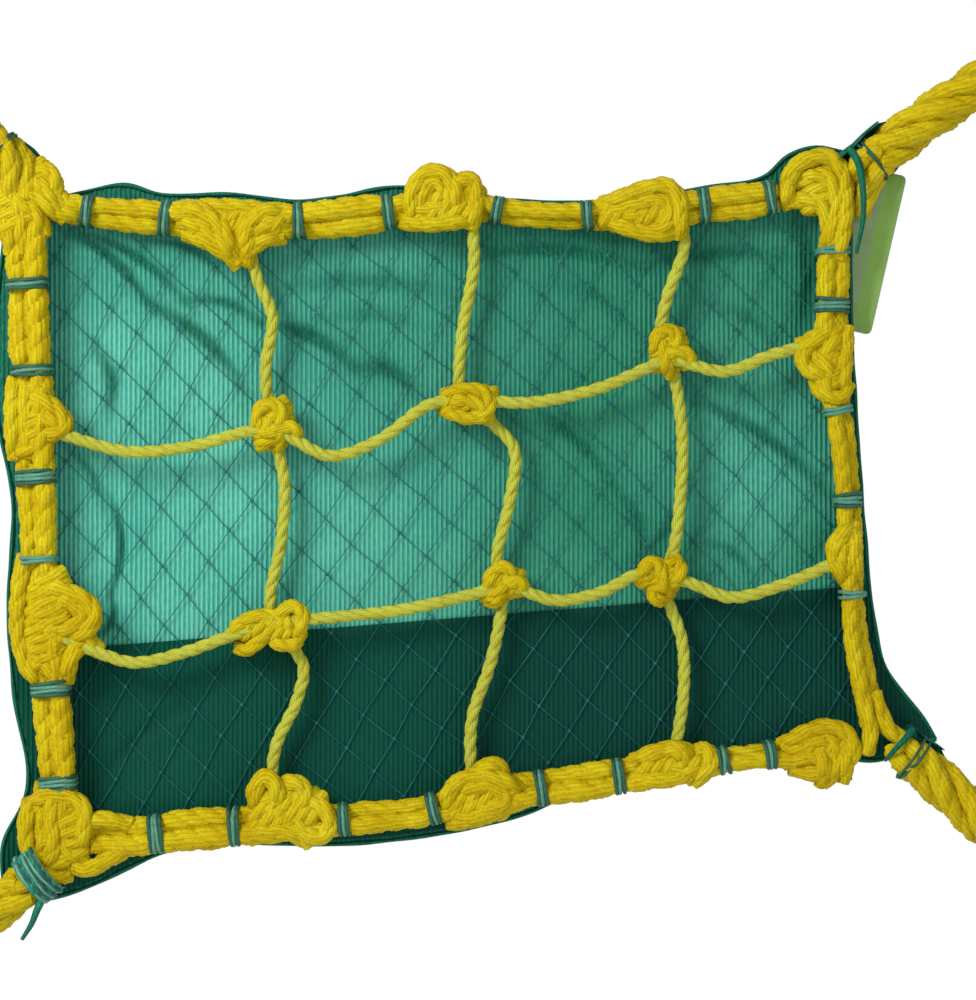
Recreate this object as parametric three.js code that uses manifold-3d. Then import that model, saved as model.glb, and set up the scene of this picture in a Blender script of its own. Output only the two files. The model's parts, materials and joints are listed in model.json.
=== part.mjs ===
// Rope safety net panel: a knotted polypropylene mesh in a doubled border rope, laced over shade
// cloth and a fine diamond net, with a tie rope at each corner and a card tag.
// Millimetres, +X right, +Z up, the front of the net faces -Y. The origin is the panel's centre.
import * as THREE from 'three';
import { mergeVertices } from 'three/addons/utils/BufferGeometryUtils.js';
import Module from 'manifold-3d';

const wasm = await Module();
wasm.setup();

// ---- driving dimensions -------------------------------------------------------------------
const CORD_D = 6.5; // mesh cord
const BORDER_D = 9; // each of the two runs of the border rope
const TIE_D = 21.7; // four border-size strands laid up together
const TWINE_D = 1.6; // lacing twine
const GAP = 0.3; // clearance between pieces that touch on the real net

const BORDER_HALF_WIDTH = BORDER_D - GAP / 2; // both runs side by side
const BORDER_HALF_DEPTH = BORDER_D / 2;
const CORD_V_Y = 1.7; // centre depth of the vertical cords
const CORD_H_Y = CORD_V_Y - CORD_D - GAP; // the horizontal cords pass in front of them
const KNOT_FRONT_Y = -11;
const KNOT_BACK_Y = 8.6;
const WRAP_FRONT_Y = KNOT_FRONT_Y - 3;
const SHEET_T = 0.8;
const DIAMOND_Y = KNOT_BACK_Y + GAP; // front face of each layer behind the knots
const LAYER_Y = DIAMOND_Y + SHEET_T + GAP; // the dark layer lies on the front of the cloth
const CLOTH_Y = LAYER_Y + SHEET_T + GAP;

const FOLD_TILT = THREE.MathUtils.degToRad(5); // the fold runs along the mesh rows
const FOLD_Z = 2.5; // height of the fold where X is 0

const TIE_LENGTH = 132; // from the corner to the throat of the eye
const TIE_Y = -5; // centre depth of the tie ropes
const TIE_SWING = THREE.MathUtils.degToRad(45);
const TIE_CLEARANCE = 0.4;
const EYE_HALF_WIDTH = 7.5; // inside of the eye
const EYE_STRAIGHT = 12.5; // between the centres of its two round ends
const EYE_ROPE = 9.5;
const EYE_DEPTH = 11;
const THROAT_LENGTH = 12;

const TAG_WIDTH = 23;
const TAG_HEIGHT = 84;
const TAG_T = 1;
const TAG_TILT = THREE.MathUtils.degToRad(9);
const TAG_FRONT_Y = 14.4;
const TAG_HOLE = [-6.1, 38.3]; // across and up from the tag's centre
const TAG_HOLE_R = 2;
const STRING_R = 1;

// ---- routes, as [x, z] points from end to end -----------------------------------------------
const BORDERS = {
  top: [[-199.5, 149], [-158, 145], [-104, 142], [-71, 142.3], [-25, 147], [5, 150.4],
    [54, 145], [107, 147], [148, 151.5], [188, 156.5]],
  bottom: [[-180.5, -172.4], [-145, -170.3], [-102, -166.3], [-56, -163.2], [-20, -160.7],
    [15, -153], [51, -147], [82, -142.3], [120, -136.7], [153, -131.6], [206, -126.5]],
  left: [[-209.5, 160], [-210.6, 110], [-208, 65], [-206.6, 25.5], [-205, -15], [-203, -56],
    [-198, -102], [-194.8, -144], [-190.7, -176]],
  right: [[198, 163], [200.4, 127.5], [200, 97], [199, 69], [205.5, 30.6], [208, 0],
    [209.6, -30.6], [211.7, -66], [218, -102], [222, -121]],
};
const VERTICAL_CORDS = [
  [[-98, 131], [-93, 112], [-85.7, 94], [-89, 66], [-85.7, 38], [-79.6, 10], [-81, -20],
    [-86.7, -51], [-84, -65], [-70, -84], [-73, -102], [-83.6, -125], [-86.7, -148]],
  [[16.8, 137], [17.3, 120], [11, 82], [11.7, 51], [28, 38], [38, 25.5], [35.7, 0],
    [29, -30.6], [32, -41], [30.6, -61], [25.5, -84], [16.3, -112], [15.8, -142.8]],
  [[124.4, 139], [124.4, 127.5], [116.3, 104.5], [113, 87], [117.3, 75.5], [123.4, 36],
    [123, 5], [119.3, -25.5], [113.7, -41], [123.4, -71], [124.4, -97], [120.4, -126.5]],
];
const HORIZONTAL_CORDS = [
  [[-197.4, 35.7], [-186, 31.6], [-158, 24.5], [-127.5, 27], [-85.7, 35.7], [-56, 22.4],
    [-30.6, 30.6], [-5, 48.5], [14, 51], [46, 49.5], [81.6, 57], [107, 67.8], [116, 71.4],
    [145, 65.3], [168, 73.4], [189, 79]],
  [[-190.5, -70.5], [-176, -76.5], [-155.6, -82.6], [-130, -77.5], [-104.5, -68.3],
    [-84, -62.2], [-56, -59.7], [-20.4, -56], [20.4, -47], [33, -43.4], [58.6, -51],
    [81.6, -47], [104.5, -36.7], [127.5, -42.3], [148, -49.5], [173.4, -43.4], [199.5, -32.5]],
];
const CLOTH_OUTLINE = [[-217, 150], [-193, 155], [-163, 161], [-143, 155.6], [-104, 156.6],
  [-76, 153], [-56, 158], [-20, 162], [25, 155], [69, 153], [122, 160], [166, 164],
  [184, 177], [207, 178], [213, 153], [214, 87], [215, 25.5], [218, -10], [220, -51],
  [228.5, -84], [252.5, -112], [255, -123], [235, -133], [156, -139], [133, -145], [51, -156],
  [5, -168], [-51, -175], [-107, -178.5], [-148, -188], [-173, -198], [-204, -204],
  [-224, -206], [-224, -178], [-207, -148], [-213, -102], [-220, -51], [-219, 0], [-224, 51],
  [-224, 102]];
const DIAMOND_INSET = 2; // the fine net stops this far inside the cloth's edge
const LAYER_EDGE = [[-224, -79], [224, -43.5]]; // upper edge of the dark layer
const LASHINGS = { // [place along the side, turns of twine]
  top: [[-179.5, 1], [-140.2, 1], [-72.6, 1], [-25.5, 1], [28.8, 1], [74, 1], [135, 1],
    [168.3, 1]],
  bottom: [[-145.3, 1], [-104.6, 1], [-48.5, 1], [-3, 1], [51, 1], [91.8, 1], [145, 1],
    [168.3, 1]],
  left: [[109.7, 1], [66, 1], [11.2, 2], [-31.2, 1], [-96.9, 2], [-143.8, 2]],
  right: [[127.5, 1], [107.1, 2], [45.5, 1], [0, 2], [-48.5, 1]],
};

// ---- knots: centre, half sizes, tilt in degrees ---------------------------------------------
const MESH_KNOTS = {
  c1r1: [[-85, 38], [13.5, 15.3], 0],
  c2r1: [[13.8, 50.5], [19, 12], 0],
  c3r1: [[116.8, 75.5], [13.3, 14], 0],
  c1r2: [[-85, -64.5], [21, 12.5], 10],
  c2r2: [[32.1, -42.3], [12.8, 12.8], 0],
  c3r2: [[114.2, -39.8], [13.3, 13.5], 0],
};
const BORDER_KNOTS = {
  top_1: [[-104.5, 137], [30.6, 16.5], 0],
  top_2: [[2.6, 150.5], [24, 19], 0],
  top_3: [[104.6, 147.4], [28, 17], 0],
  bottom_1: [[-79, -155.6], [23, 20.4], 0],
  bottom_2: [[21.4, -150.4], [21.7, 17.9], 0],
  bottom_3: [[118.3, -135.2], [24, 15], 0],
  left_1: [[-204, 40.8], [15.3, 23], 0],
  left_2: [[-194, -62.2], [20.4, 29], 0],
  right_1: [[194.8, 67.8], [14, 19], 0],
  right_2: [[206.5, -26.5], [12, 19], 0],
};
const CORNERS = {
  tl: { knot: [[-210, 158], [17, 16], 0], pivot: [-221, 175], heading: [137, 150] },
  tr: { knot: [[194.8, 161], [17, 17], 0], pivot: [221.3, 173.4], heading: [39, 26] },
  bl: { knot: [[-188.7, -171], [18, 23], 0], pivot: [-212, -196.5], heading: [218, 226] },
  br: { knot: [[196.4, -128.5], [14, 14], 0], pivot: [240, -132], heading: [-38, -58] },
};
const WRAP_BACK_OFF = 10; // from the pivot to the wrap's centre
const WRAP_RADII = [13, 13.5];
const TAG_PIVOT = [219.3, 167.3];

// ---- materials ------------------------------------------------------------------------------
const finish = (name, color, roughness) =>
  new THREE.MeshStandardMaterial({ name, color, roughness, metalness: 0 });
const YELLOW = () => finish('yellow_rope', 0xe0c41c, 0.5);
const TWINE = () => finish('green_twine', 0x1a6b4a, 0.6);
const CLOTH = () => finish('shade_cloth', 0x4aa58c, 0.7);
const DARK_CLOTH = () => finish('dark_layer', 0x0b4f3e, 0.75);
const FINE_NET = () => finish('fine_net', 0x1f7a80, 0.6);
const TAG_CARD = () => finish('tag_card', 0x86b04a, 0.35);

const group = new THREE.Group();

function addMesh(name, geometry, material) {
  const mesh = new THREE.Mesh(geometry, material);
  mesh.name = name;
  group.add(mesh);
  return mesh;
}

// ---- solids ---------------------------------------------------------------------------------
function toSolid(geometry) {
  let g = geometry.clone();
  g.deleteAttribute('normal');
  g.deleteAttribute('uv');
  g = mergeVertices(g, 1e-4);
  const mesh = new wasm.Mesh({
    numProp: 3,
    vertProperties: new Float32Array(g.attributes.position.array),
    triVerts: new Uint32Array(g.index.array),
  });
  return new wasm.Manifold(mesh);
}

function toGeometry(solid) {
  const largest = solid.decompose().sort((a, b) => b.volume() - a.volume())[0];
  const mesh = largest.getMesh();
  const g = new THREE.BufferGeometry();
  g.setAttribute('position', new THREE.BufferAttribute(mesh.vertProperties, 3));
  g.setIndex(new THREE.BufferAttribute(mesh.triVerts, 1));
  return g;
}

function curveThrough(points, y) {
  const places = points.map(([x, z]) => new THREE.Vector3(x, y, z));
  return new THREE.CatmullRomCurve3(places, false, 'centripetal');
}

// Sweeps an outline along a curve that lies in a plane of constant Y. The outline's first
// coordinate points to the front (-Y), the second across the rope.
function sweep(curve, outline, steps) {
  return new THREE.ExtrudeGeometry(new THREE.Shape(outline), {
    steps,
    extrudePath: curve,
    bevelEnabled: false,
  });
}

function roundOutline(radius, sides, front = 0, across = 0) {
  return Array.from({ length: sides }, (_, i) => {
    const a = ((i + 0.5) / sides) * 2 * Math.PI;
    return new THREE.Vector2(front + radius * Math.cos(a), across + radius * Math.sin(a));
  });
}

// Two touching rope runs as one outline.
function doubleRunOutline() {
  const radius = BORDER_D / 2;
  const centre = BORDER_HALF_WIDTH - radius;
  const opening = Math.acos(centre / radius);
  const segments = 5;
  const points = [];
  for (const side of [1, -1]) {
    for (let i = 0; i <= segments; i++) {
      const sweepAngle = 2 * Math.PI - 2 * opening;
      const a = -side * Math.PI / 2 + opening + (sweepAngle * i) / segments;
      points.push(new THREE.Vector2(radius * Math.cos(a), side * centre + radius * Math.sin(a)));
    }
  }
  return points.filter((p, i) => i === 0 || p.distanceTo(points[i - 1]) > 0.05)
    .filter((p, i, all) => i > 0 || p.distanceTo(all[all.length - 1]) > 0.05);
}

// A rounded rectangle, halfDepth front and back and halfWidth across, cut at the corners.
function bandOutline(front, back, halfWidth, corner) {
  const at = (x, y) => new THREE.Vector2(x, y);
  return [
    at(front, -halfWidth + corner), at(front, halfWidth - corner),
    at(front - corner, halfWidth), at(-back + corner, halfWidth),
    at(-back, halfWidth - corner), at(-back, -halfWidth + corner),
    at(-back + corner, -halfWidth), at(front - corner, -halfWidth),
  ];
}

// An ellipsoid knot in the net's plane, from KNOT_FRONT_Y to KNOT_BACK_Y.
function knotSolid([[x, z], [rx, rz], tilt], grow = 0, front = KNOT_FRONT_Y) {
  const halfDepth = (KNOT_BACK_Y - front) / 2;
  const g = new THREE.SphereGeometry(1, 12, 6);
  g.rotateX(Math.PI / 2);
  g.scale(rx + grow, halfDepth + grow, rz + grow);
  g.rotateY(-THREE.MathUtils.degToRad(tilt));
  g.translate(x, (KNOT_BACK_Y + front) / 2, z);
  return toSolid(g);
}

// The half of a solid above or below the fold.
function halfOf(solid, upper) {
  const normal = [-Math.sin(FOLD_TILT), 0, Math.cos(FOLD_TILT)];
  const height = FOLD_Z * Math.cos(FOLD_TILT);
  return upper
    ? solid.trimByPlane(normal, height + GAP / 2)
    : solid.trimByPlane(normal.map((n) => -n), -height + GAP / 2);
}

function addHalves(name, solid, material) {
  addMesh(`${name}_upper`, toGeometry(halfOf(solid, true)), material());
  addMesh(`${name}_lower`, toGeometry(halfOf(solid, false)), material());
}

// ---- border ropes and their channels through the knots ----------------------------------------
const BORDER_STEPS = 16;
const CHANNEL_CORNER = 1.2;
const RUNNING_TWINE_ROOM = TWINE_D + 2 * GAP + 0.2; // the lacing passes behind the border rope
const borderCurves = {};
const borderChannels = [];
for (const [side, points] of Object.entries(BORDERS)) {
  const curve = curveThrough(points, 0);
  borderCurves[side] = curve;
  const solid = toSolid(sweep(curve, doubleRunOutline(), BORDER_STEPS));
  const channel = bandOutline(BORDER_HALF_DEPTH + GAP, BORDER_HALF_DEPTH + RUNNING_TWINE_ROOM,
    BORDER_HALF_WIDTH + GAP, CHANNEL_CORNER);
  borderChannels.push(toSolid(sweep(curve, channel, BORDER_STEPS)));
  if (side === 'top' || side === 'bottom') {
    addMesh(`border_rope_${side}`, toGeometry(solid), YELLOW());
  } else {
    addHalves(`border_rope_${side}`, solid, YELLOW);
  }
}

// ---- mesh cords ---------------------------------------------------------------------------------
const CORD_SIDES = 8;
const CHANNEL_SIDES = 6;
const V_STEPS = 24;
const H_STEPS = 28;
const cordOutline = roundOutline(CORD_D / 2, CORD_SIDES);
const channelRadius = (CORD_D / 2 + GAP) / Math.cos(Math.PI / CHANNEL_SIDES);
const cordChannel = roundOutline(channelRadius, CHANNEL_SIDES);
const cordChannels = [];
VERTICAL_CORDS.forEach((points, i) => {
  const curve = curveThrough(points, CORD_V_Y);
  cordChannels.push(toSolid(sweep(curve, cordChannel, V_STEPS)));
  addHalves(`mesh_cord_v${i + 1}`, toSolid(sweep(curve, cordOutline, V_STEPS)), YELLOW);
});
HORIZONTAL_CORDS.forEach((points, i) => {
  const curve = curveThrough(points, CORD_H_Y);
  cordChannels.push(toSolid(sweep(curve, cordChannel, H_STEPS)));
  const solid = toSolid(sweep(curve, cordOutline, H_STEPS));
  addMesh(`mesh_cord_h${i + 1}`, toGeometry(solid), YELLOW());
});

// ---- tie ropes: an arc from the corner to the eye -------------------------------------------------
function tiePath({ pivot: [x, z], heading }) {
  const [start, end] = heading.map(THREE.MathUtils.degToRad);
  const bend = (end - start) / TIE_LENGTH;
  const at = (s) => new THREE.Vector3(
    x + (Math.sin(start + bend * s) - Math.sin(start)) / bend,
    TIE_Y,
    z - (Math.cos(start + bend * s) - Math.cos(start)) / bend,
  );
  const count = 12;
  return new THREE.CatmullRomCurve3(
    Array.from({ length: count + 1 }, (_, i) => at((TIE_LENGTH * i) / count)));
}

// The space that the rope's root sweeps as it swings, with its flats outside the round rope.
function swingSpace({ pivot: [x, z], heading }) {
  const sides = 12;
  const radius = (TIE_D / 2 + TIE_CLEARANCE) / Math.cos(Math.PI / sides);
  const length = 45;
  const ball = new THREE.SphereGeometry(radius, sides, sides / 2);
  ball.translate(x, TIE_Y, z);
  let space = toSolid(ball);
  const rest = THREE.MathUtils.degToRad(heading[0]);
  const count = 4;
  for (let i = 0; i <= count; i++) {
    const angle = rest - TIE_SWING + (2 * TIE_SWING * i) / count;
    const rope = new THREE.CylinderGeometry(radius, radius, length, sides);
    rope.translate(0, length / 2, 0);
    rope.rotateZ(-Math.PI / 2);
    rope.rotateY(-angle);
    rope.translate(x, TIE_Y, z);
    space = space.add(toSolid(rope));
  }
  return space;
}

// ---- knots ------------------------------------------------------------------------------------------
const cutAll = (solid, cutters) => cutters.reduce((left, cutter) => left.subtract(cutter), solid);

for (const [name, knot] of Object.entries(MESH_KNOTS)) {
  addMesh(`mesh_knot_${name}`, toGeometry(cutAll(knotSolid(knot), cordChannels)), YELLOW());
}
for (const [name, knot] of Object.entries(BORDER_KNOTS)) {
  const solid = cutAll(knotSolid(knot), [...borderChannels, ...cordChannels]);
  addMesh(`border_knot_${name}`, toGeometry(solid), YELLOW());
}

// ---- corners: knot, green wrap, tie rope and eye ------------------------------------------------------
function eyeSolid(place) {
  const segments = 7; // odd, so that one facet lies square across the tip
  const ring = (radius) => {
    const points = [];
    for (const [centre, from] of [[EYE_STRAIGHT, -Math.PI / 2], [0, Math.PI / 2]]) {
      for (let i = 0; i <= segments; i++) {
        const a = from + (Math.PI * i) / segments;
        points.push(new THREE.Vector2(centre + radius * Math.cos(a), radius * Math.sin(a)));
      }
    }
    return points;
  };
  const bevel = 2;
  const shape = new THREE.Shape(ring(EYE_HALF_WIDTH + EYE_ROPE));
  shape.holes.push(new THREE.Path(ring(EYE_HALF_WIDTH)));
  const loop = new THREE.ExtrudeGeometry(shape, {
    depth: EYE_DEPTH - 2 * bevel,
    bevelSize: bevel,
    bevelThickness: bevel,
    bevelOffset: -bevel,
    bevelSegments: 1,
    curveSegments: 1,
  });
  loop.translate(THROAT_LENGTH + EYE_HALF_WIDTH, 0, -EYE_DEPTH / 2 + bevel);
  const throat = new THREE.CylinderGeometry(TIE_D / 2, TIE_D / 2, THROAT_LENGTH, 12);
  throat.rotateZ(Math.PI / 2);
  throat.translate(THROAT_LENGTH / 2 + GAP, 0, 0);
  for (const g of [loop, throat]) {
    g.applyMatrix4(place);
  }
  return toSolid(loop).add(toSolid(throat));
}

for (const [corner, spec] of Object.entries(CORNERS)) {
  const curve = tiePath(spec);
  const swing = swingSpace(spec);
  const knot = cutAll(knotSolid(spec.knot), [...borderChannels, swing]);
  addMesh(`corner_knot_${corner}`, toGeometry(knot), YELLOW());

  const heading = THREE.MathUtils.degToRad(spec.heading[0]);
  const wrapCentre = [
    spec.pivot[0] - WRAP_BACK_OFF * Math.cos(heading),
    spec.pivot[1] - WRAP_BACK_OFF * Math.sin(heading),
  ];
  let wrap = cutAll(knotSolid([wrapCentre, WRAP_RADII, 0], 0, WRAP_FRONT_Y),
    [swing, knotSolid(spec.knot, GAP), ...borderChannels]);
  if (corner === 'tr') {
    const reach = 2; // the tag's string is rooted this deep, plus clearance
    const pocket = new THREE.CylinderGeometry(STRING_R + GAP, STRING_R + GAP, 2 * reach, 12);
    pocket.translate(TAG_PIVOT[0], KNOT_BACK_Y, TAG_PIVOT[1]);
    wrap = wrap.subtract(toSolid(pocket));
  }
  addMesh(`corner_wrap_${corner}`, toGeometry(wrap), TWINE());

  addMesh(`tie_rope_${corner}`, sweep(curve, roundOutline(TIE_D / 2, 12), 8), YELLOW());
  const end = curve.getPoint(1);
  const along = curve.getTangent(1);
  const across = new THREE.Vector3(-along.z, 0, along.x);
  const place = new THREE.Matrix4().makeBasis(along, across, new THREE.Vector3(0, -1, 0));
  addMesh(`tie_eye_${corner}`, toGeometry(eyeSolid(place.setPosition(end))), YELLOW());
}

// ---- lashings: rings of twine joined by the running part behind the border ------------------------------
function frameAt(curve, t) {
  const along = curve.getTangentAt(t);
  const front = new THREE.Vector3(0, -1, 0);
  const across = new THREE.Vector3().crossVectors(along, front);
  return new THREE.Matrix4().makeBasis(front, across, along).setPosition(curve.getPointAt(t));
}

function placeAlong(curve, axis, value) {
  const count = 400;
  let best = 0;
  for (let i = 0; i <= count; i++) {
    const off = Math.abs(curve.getPointAt(i / count)[axis] - value);
    if (off < Math.abs(curve.getPointAt(best)[axis] - value)) {
      best = i / count;
    }
  }
  return best;
}

function lashingRing(curve, t, turns) {
  const inner = [BORDER_HALF_DEPTH + GAP, BORDER_HALF_DEPTH + GAP, BORDER_HALF_WIDTH + GAP, 2.4];
  const outer = inner.map((v, i) => (i < 3 ? v + TWINE_D : v));
  const width = TWINE_D * (turns === 2 ? 2.4 : 1);
  const shape = new THREE.Shape(bandOutline(...outer));
  shape.holes.push(new THREE.Path(bandOutline(...inner)));
  const g = new THREE.ExtrudeGeometry(shape, { depth: width, bevelEnabled: false, curveSegments: 1 });
  g.translate(0, 0, -width / 2);
  g.applyMatrix4(frameAt(curve, t));
  return toSolid(g);
}

function lashingSolid(side, rings) {
  const curve = borderCurves[side];
  const axis = side === 'top' || side === 'bottom' ? 'x' : 'z';
  const places = rings.map(([value, turns]) => [placeAlong(curve, axis, value), turns]);
  const behind = -(BORDER_HALF_DEPTH + GAP + TWINE_D / 2);
  const ends = places.map(([t]) => t);
  const from = Math.min(...ends);
  const to = Math.max(...ends);
  const count = 10;
  const run = new THREE.CatmullRomCurve3(Array.from({ length: count + 1 }, (_, i) =>
    curve.getPointAt(from + ((to - from) * i) / count)));
  const solid = toSolid(sweep(run, roundOutline(TWINE_D / 2, 5, behind), count));
  return places.reduce((sum, [t, turns]) => sum.add(lashingRing(curve, t, turns)), solid);
}

const foldHeightAt = (x) => FOLD_Z + x * Math.tan(FOLD_TILT);
for (const [side, rings] of Object.entries(LASHINGS)) {
  if (side === 'top' || side === 'bottom') {
    addMesh(`lashing_${side}`, toGeometry(lashingSolid(side, rings)), TWINE());
    continue;
  }
  const fold = foldHeightAt(BORDERS[side][4][0]);
  const above = rings.filter(([z]) => z > fold);
  const below = rings.filter(([z]) => z < fold);
  addMesh(`lashing_${side}_upper`, toGeometry(lashingSolid(side, above)), TWINE());
  addMesh(`lashing_${side}_lower`, toGeometry(lashingSolid(side, below)), TWINE());
}

// ---- sheets behind the knots ----------------------------------------------------------------------------
function sheetSolid(outline, frontY) {
  const shape = new THREE.Shape(outline.map(([x, z]) => new THREE.Vector2(x, z)));
  const g = new THREE.ExtrudeGeometry(shape, { depth: SHEET_T, bevelEnabled: false });
  g.rotateX(Math.PI / 2);
  g.translate(0, frontY + SHEET_T, 0);
  return toSolid(g);
}

const centre = [0, -14];
const inset = CLOTH_OUTLINE.map(([x, z]) => {
  const away = Math.hypot(x - centre[0], z - centre[1]);
  const keep = (away - DIAMOND_INSET) / away;
  return [centre[0] + (x - centre[0]) * keep, centre[1] + (z - centre[1]) * keep];
});
addHalves('diamond_net', sheetSolid(inset, DIAMOND_Y), FINE_NET);
addHalves('shade_cloth', sheetSolid(CLOTH_OUTLINE, CLOTH_Y), CLOTH);

const [[x0, z0], [x1, z1]] = LAYER_EDGE;
const edgeTilt = Math.atan2(z1 - z0, x1 - x0);
const edgeNormal = [Math.sin(edgeTilt), 0, -Math.cos(edgeTilt)];
const edgeHeight = edgeNormal[0] * x0 + edgeNormal[2] * z0;
const layer = sheetSolid(inset, LAYER_Y).trimByPlane(edgeNormal, edgeHeight);
addMesh('shade_layer_lower', toGeometry(layer), DARK_CLOTH());

// ---- tag on its string ------------------------------------------------------------------------------------
function tagGeometry() {
  const cut = 1.5;
  const [w, h] = [TAG_WIDTH / 2, TAG_HEIGHT / 2];
  const shape = new THREE.Shape([[-w + cut, -h], [w - cut, -h], [w, -h + cut], [w, h - cut],
    [w - cut, h], [-w + cut, h], [-w, h - cut], [-w, -h + cut]]
    .map(([x, z]) => new THREE.Vector2(x, z)));
  shape.holes.push(new THREE.Path(roundOutline(TAG_HOLE_R, 12)
    .map((p) => p.add(new THREE.Vector2(...TAG_HOLE)))));
  const settings = { depth: TAG_T, bevelEnabled: false, curveSegments: 1 };
  const g = new THREE.ExtrudeGeometry(shape, settings);
  g.translate(-TAG_HOLE[0], -TAG_HOLE[1], 0);
  g.rotateX(Math.PI / 2);
  g.rotateY(TAG_TILT);
  g.translate(TAG_PIVOT[0], TAG_FRONT_Y + TAG_T, TAG_PIVOT[1]);
  return g;
}

// The string is knotted in front of and behind the tag.
function stringGeometry() {
  const start = KNOT_BACK_Y - 1.6;
  const tagBack = TAG_FRONT_Y + TAG_T;
  const bead = 3;
  const profile = [[0, start], [STRING_R, start], [STRING_R, TAG_FRONT_Y - 2.6],
    [bead, TAG_FRONT_Y - 2], [bead, TAG_FRONT_Y - 1], [STRING_R, TAG_FRONT_Y - 0.5],
    [STRING_R, tagBack + 0.5], [bead, tagBack + 1], [bead, tagBack + 2.4], [0, tagBack + 3]];
  const g = new THREE.LatheGeometry(profile.map(([r, y]) => new THREE.Vector2(r, y)), 10);
  g.translate(TAG_PIVOT[0], 0, TAG_PIVOT[1]);
  return g;
}

addMesh('tag', tagGeometry(), TAG_CARD());
addMesh('tag_string', stringGeometry(), TWINE());

export default group;
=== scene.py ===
"""Looks of the rope safety net panel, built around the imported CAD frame.

Shapes are worked out in millimetres in the row's frame (+X right, +Z up, the front faces -Y), and
become metres when a piece's mesh is made. Ropes are laid from real strands along their routes.
"""

import json
import math

import bpy
import numpy as np
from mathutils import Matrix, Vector


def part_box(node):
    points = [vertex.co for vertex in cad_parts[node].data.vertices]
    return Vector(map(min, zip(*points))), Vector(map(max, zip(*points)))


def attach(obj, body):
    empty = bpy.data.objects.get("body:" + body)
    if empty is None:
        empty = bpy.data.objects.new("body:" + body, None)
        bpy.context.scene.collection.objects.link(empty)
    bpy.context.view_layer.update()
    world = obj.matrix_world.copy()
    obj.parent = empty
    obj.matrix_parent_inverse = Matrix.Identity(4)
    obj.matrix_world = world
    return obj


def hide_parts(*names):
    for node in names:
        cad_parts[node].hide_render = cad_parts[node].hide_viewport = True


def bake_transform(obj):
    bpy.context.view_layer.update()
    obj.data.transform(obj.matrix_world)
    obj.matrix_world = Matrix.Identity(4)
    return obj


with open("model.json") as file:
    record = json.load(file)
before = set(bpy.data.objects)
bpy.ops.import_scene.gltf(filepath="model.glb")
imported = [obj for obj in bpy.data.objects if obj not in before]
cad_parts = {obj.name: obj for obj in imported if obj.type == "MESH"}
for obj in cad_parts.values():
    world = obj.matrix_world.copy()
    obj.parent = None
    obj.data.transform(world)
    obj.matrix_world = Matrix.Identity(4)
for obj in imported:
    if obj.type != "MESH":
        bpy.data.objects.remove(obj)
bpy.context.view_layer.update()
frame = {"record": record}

MM = 0.001
FRONT = np.array([0.0, -1.0, 0.0])

# ---- sizes ----
BORDER_R = 4.5  # each of the two runs of the border rope
CORD_R, CORD_LAY = 3.25, 24  # mesh cord, and the length in which its strands turn once
TIE_R, TIE_LENGTH = 10.85, 132  # four border-size strands laid up together
TWINE_R, TWINE_BEHIND = 0.85, 5.7  # of the lacing's run along the border
TURN_R, TURN_PITCH = 1.05, 1.95  # of its turns, which the lashing flattens and spreads
NET_R = 0.27  # twine of the fine diamond net
CORD_V_Y, CORD_H_Y, TIE_Y = 1.7, -5.1, -5.0
KNOT_FRONT, KNOT_BACK = -11.0, 8.6
CLOTH_Y, LAYER_Y, NET_Y = 11.5, 10.4, 9.3
RIB_PITCH, RIB_DEPTH = 2.5, 0.22  # of the cloth's knitted ribs
LACING_SPLIT = 20.6  # between the turns of the upper and the lower half

# ---- routes, as (x, z) points from end to end ----
BORDERS = {
    "top": [(-199.5, 149), (-158, 145), (-104, 142), (-71, 142.3), (-25, 147), (5, 150.4),
            (54, 145), (107, 147), (148, 151.5), (188, 156.5)],
    "bottom": [(-180.5, -172.4), (-145, -170.3), (-102, -166.3), (-56, -163.2), (-20, -160.7),
               (15, -153), (51, -147), (82, -142.3), (120, -136.7), (153, -131.6), (206, -126.5)],
    "left": [(-209.5, 160), (-210.6, 110), (-208, 65), (-206.6, 25.5), (-205, -15), (-203, -56),
             (-198, -102), (-194.8, -144), (-190.7, -176)],
    "right": [(198, 163), (200.4, 127.5), (200, 97), (199, 69), (205.5, 30.6), (208, 0),
              (209.6, -30.6), (211.7, -66), (218, -102), (222, -121)],
}
VERTICAL_CORDS = [
    [(-98, 131), (-93, 112), (-85.7, 94), (-89, 66), (-85.7, 38), (-79.6, 10), (-81, -20),
     (-86.7, -51), (-84, -65), (-70, -84), (-73, -102), (-83.6, -125), (-86.7, -148)],
    [(16.8, 137), (17.3, 120), (11, 82), (11.7, 51), (28, 38), (38, 25.5), (35.7, 0),
     (29, -30.6), (32, -41), (30.6, -61), (25.5, -84), (16.3, -112), (15.8, -142.8)],
    [(124.4, 139), (124.4, 127.5), (116.3, 104.5), (113, 87), (117.3, 75.5), (123.4, 36),
     (123, 5), (119.3, -25.5), (113.7, -41), (123.4, -71), (124.4, -97), (120.4, -126.5)],
]
HORIZONTAL_CORDS = [
    [(-197.4, 35.7), (-186, 31.6), (-158, 24.5), (-127.5, 27), (-85.7, 35.7), (-56, 22.4),
     (-30.6, 30.6), (-5, 48.5), (14, 51), (46, 49.5), (81.6, 57), (107, 67.8), (116, 71.4),
     (145, 65.3), (168, 73.4), (189, 79)],
    [(-190.5, -70.5), (-176, -76.5), (-155.6, -82.6), (-130, -77.5), (-104.5, -68.3),
     (-84, -62.2), (-56, -59.7), (-20.4, -56), (20.4, -47), (33, -43.4), (58.6, -51),
     (81.6, -47), (104.5, -36.7), (127.5, -42.3), (148, -49.5), (173.4, -43.4), (199.5, -32.5)],
]
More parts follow.
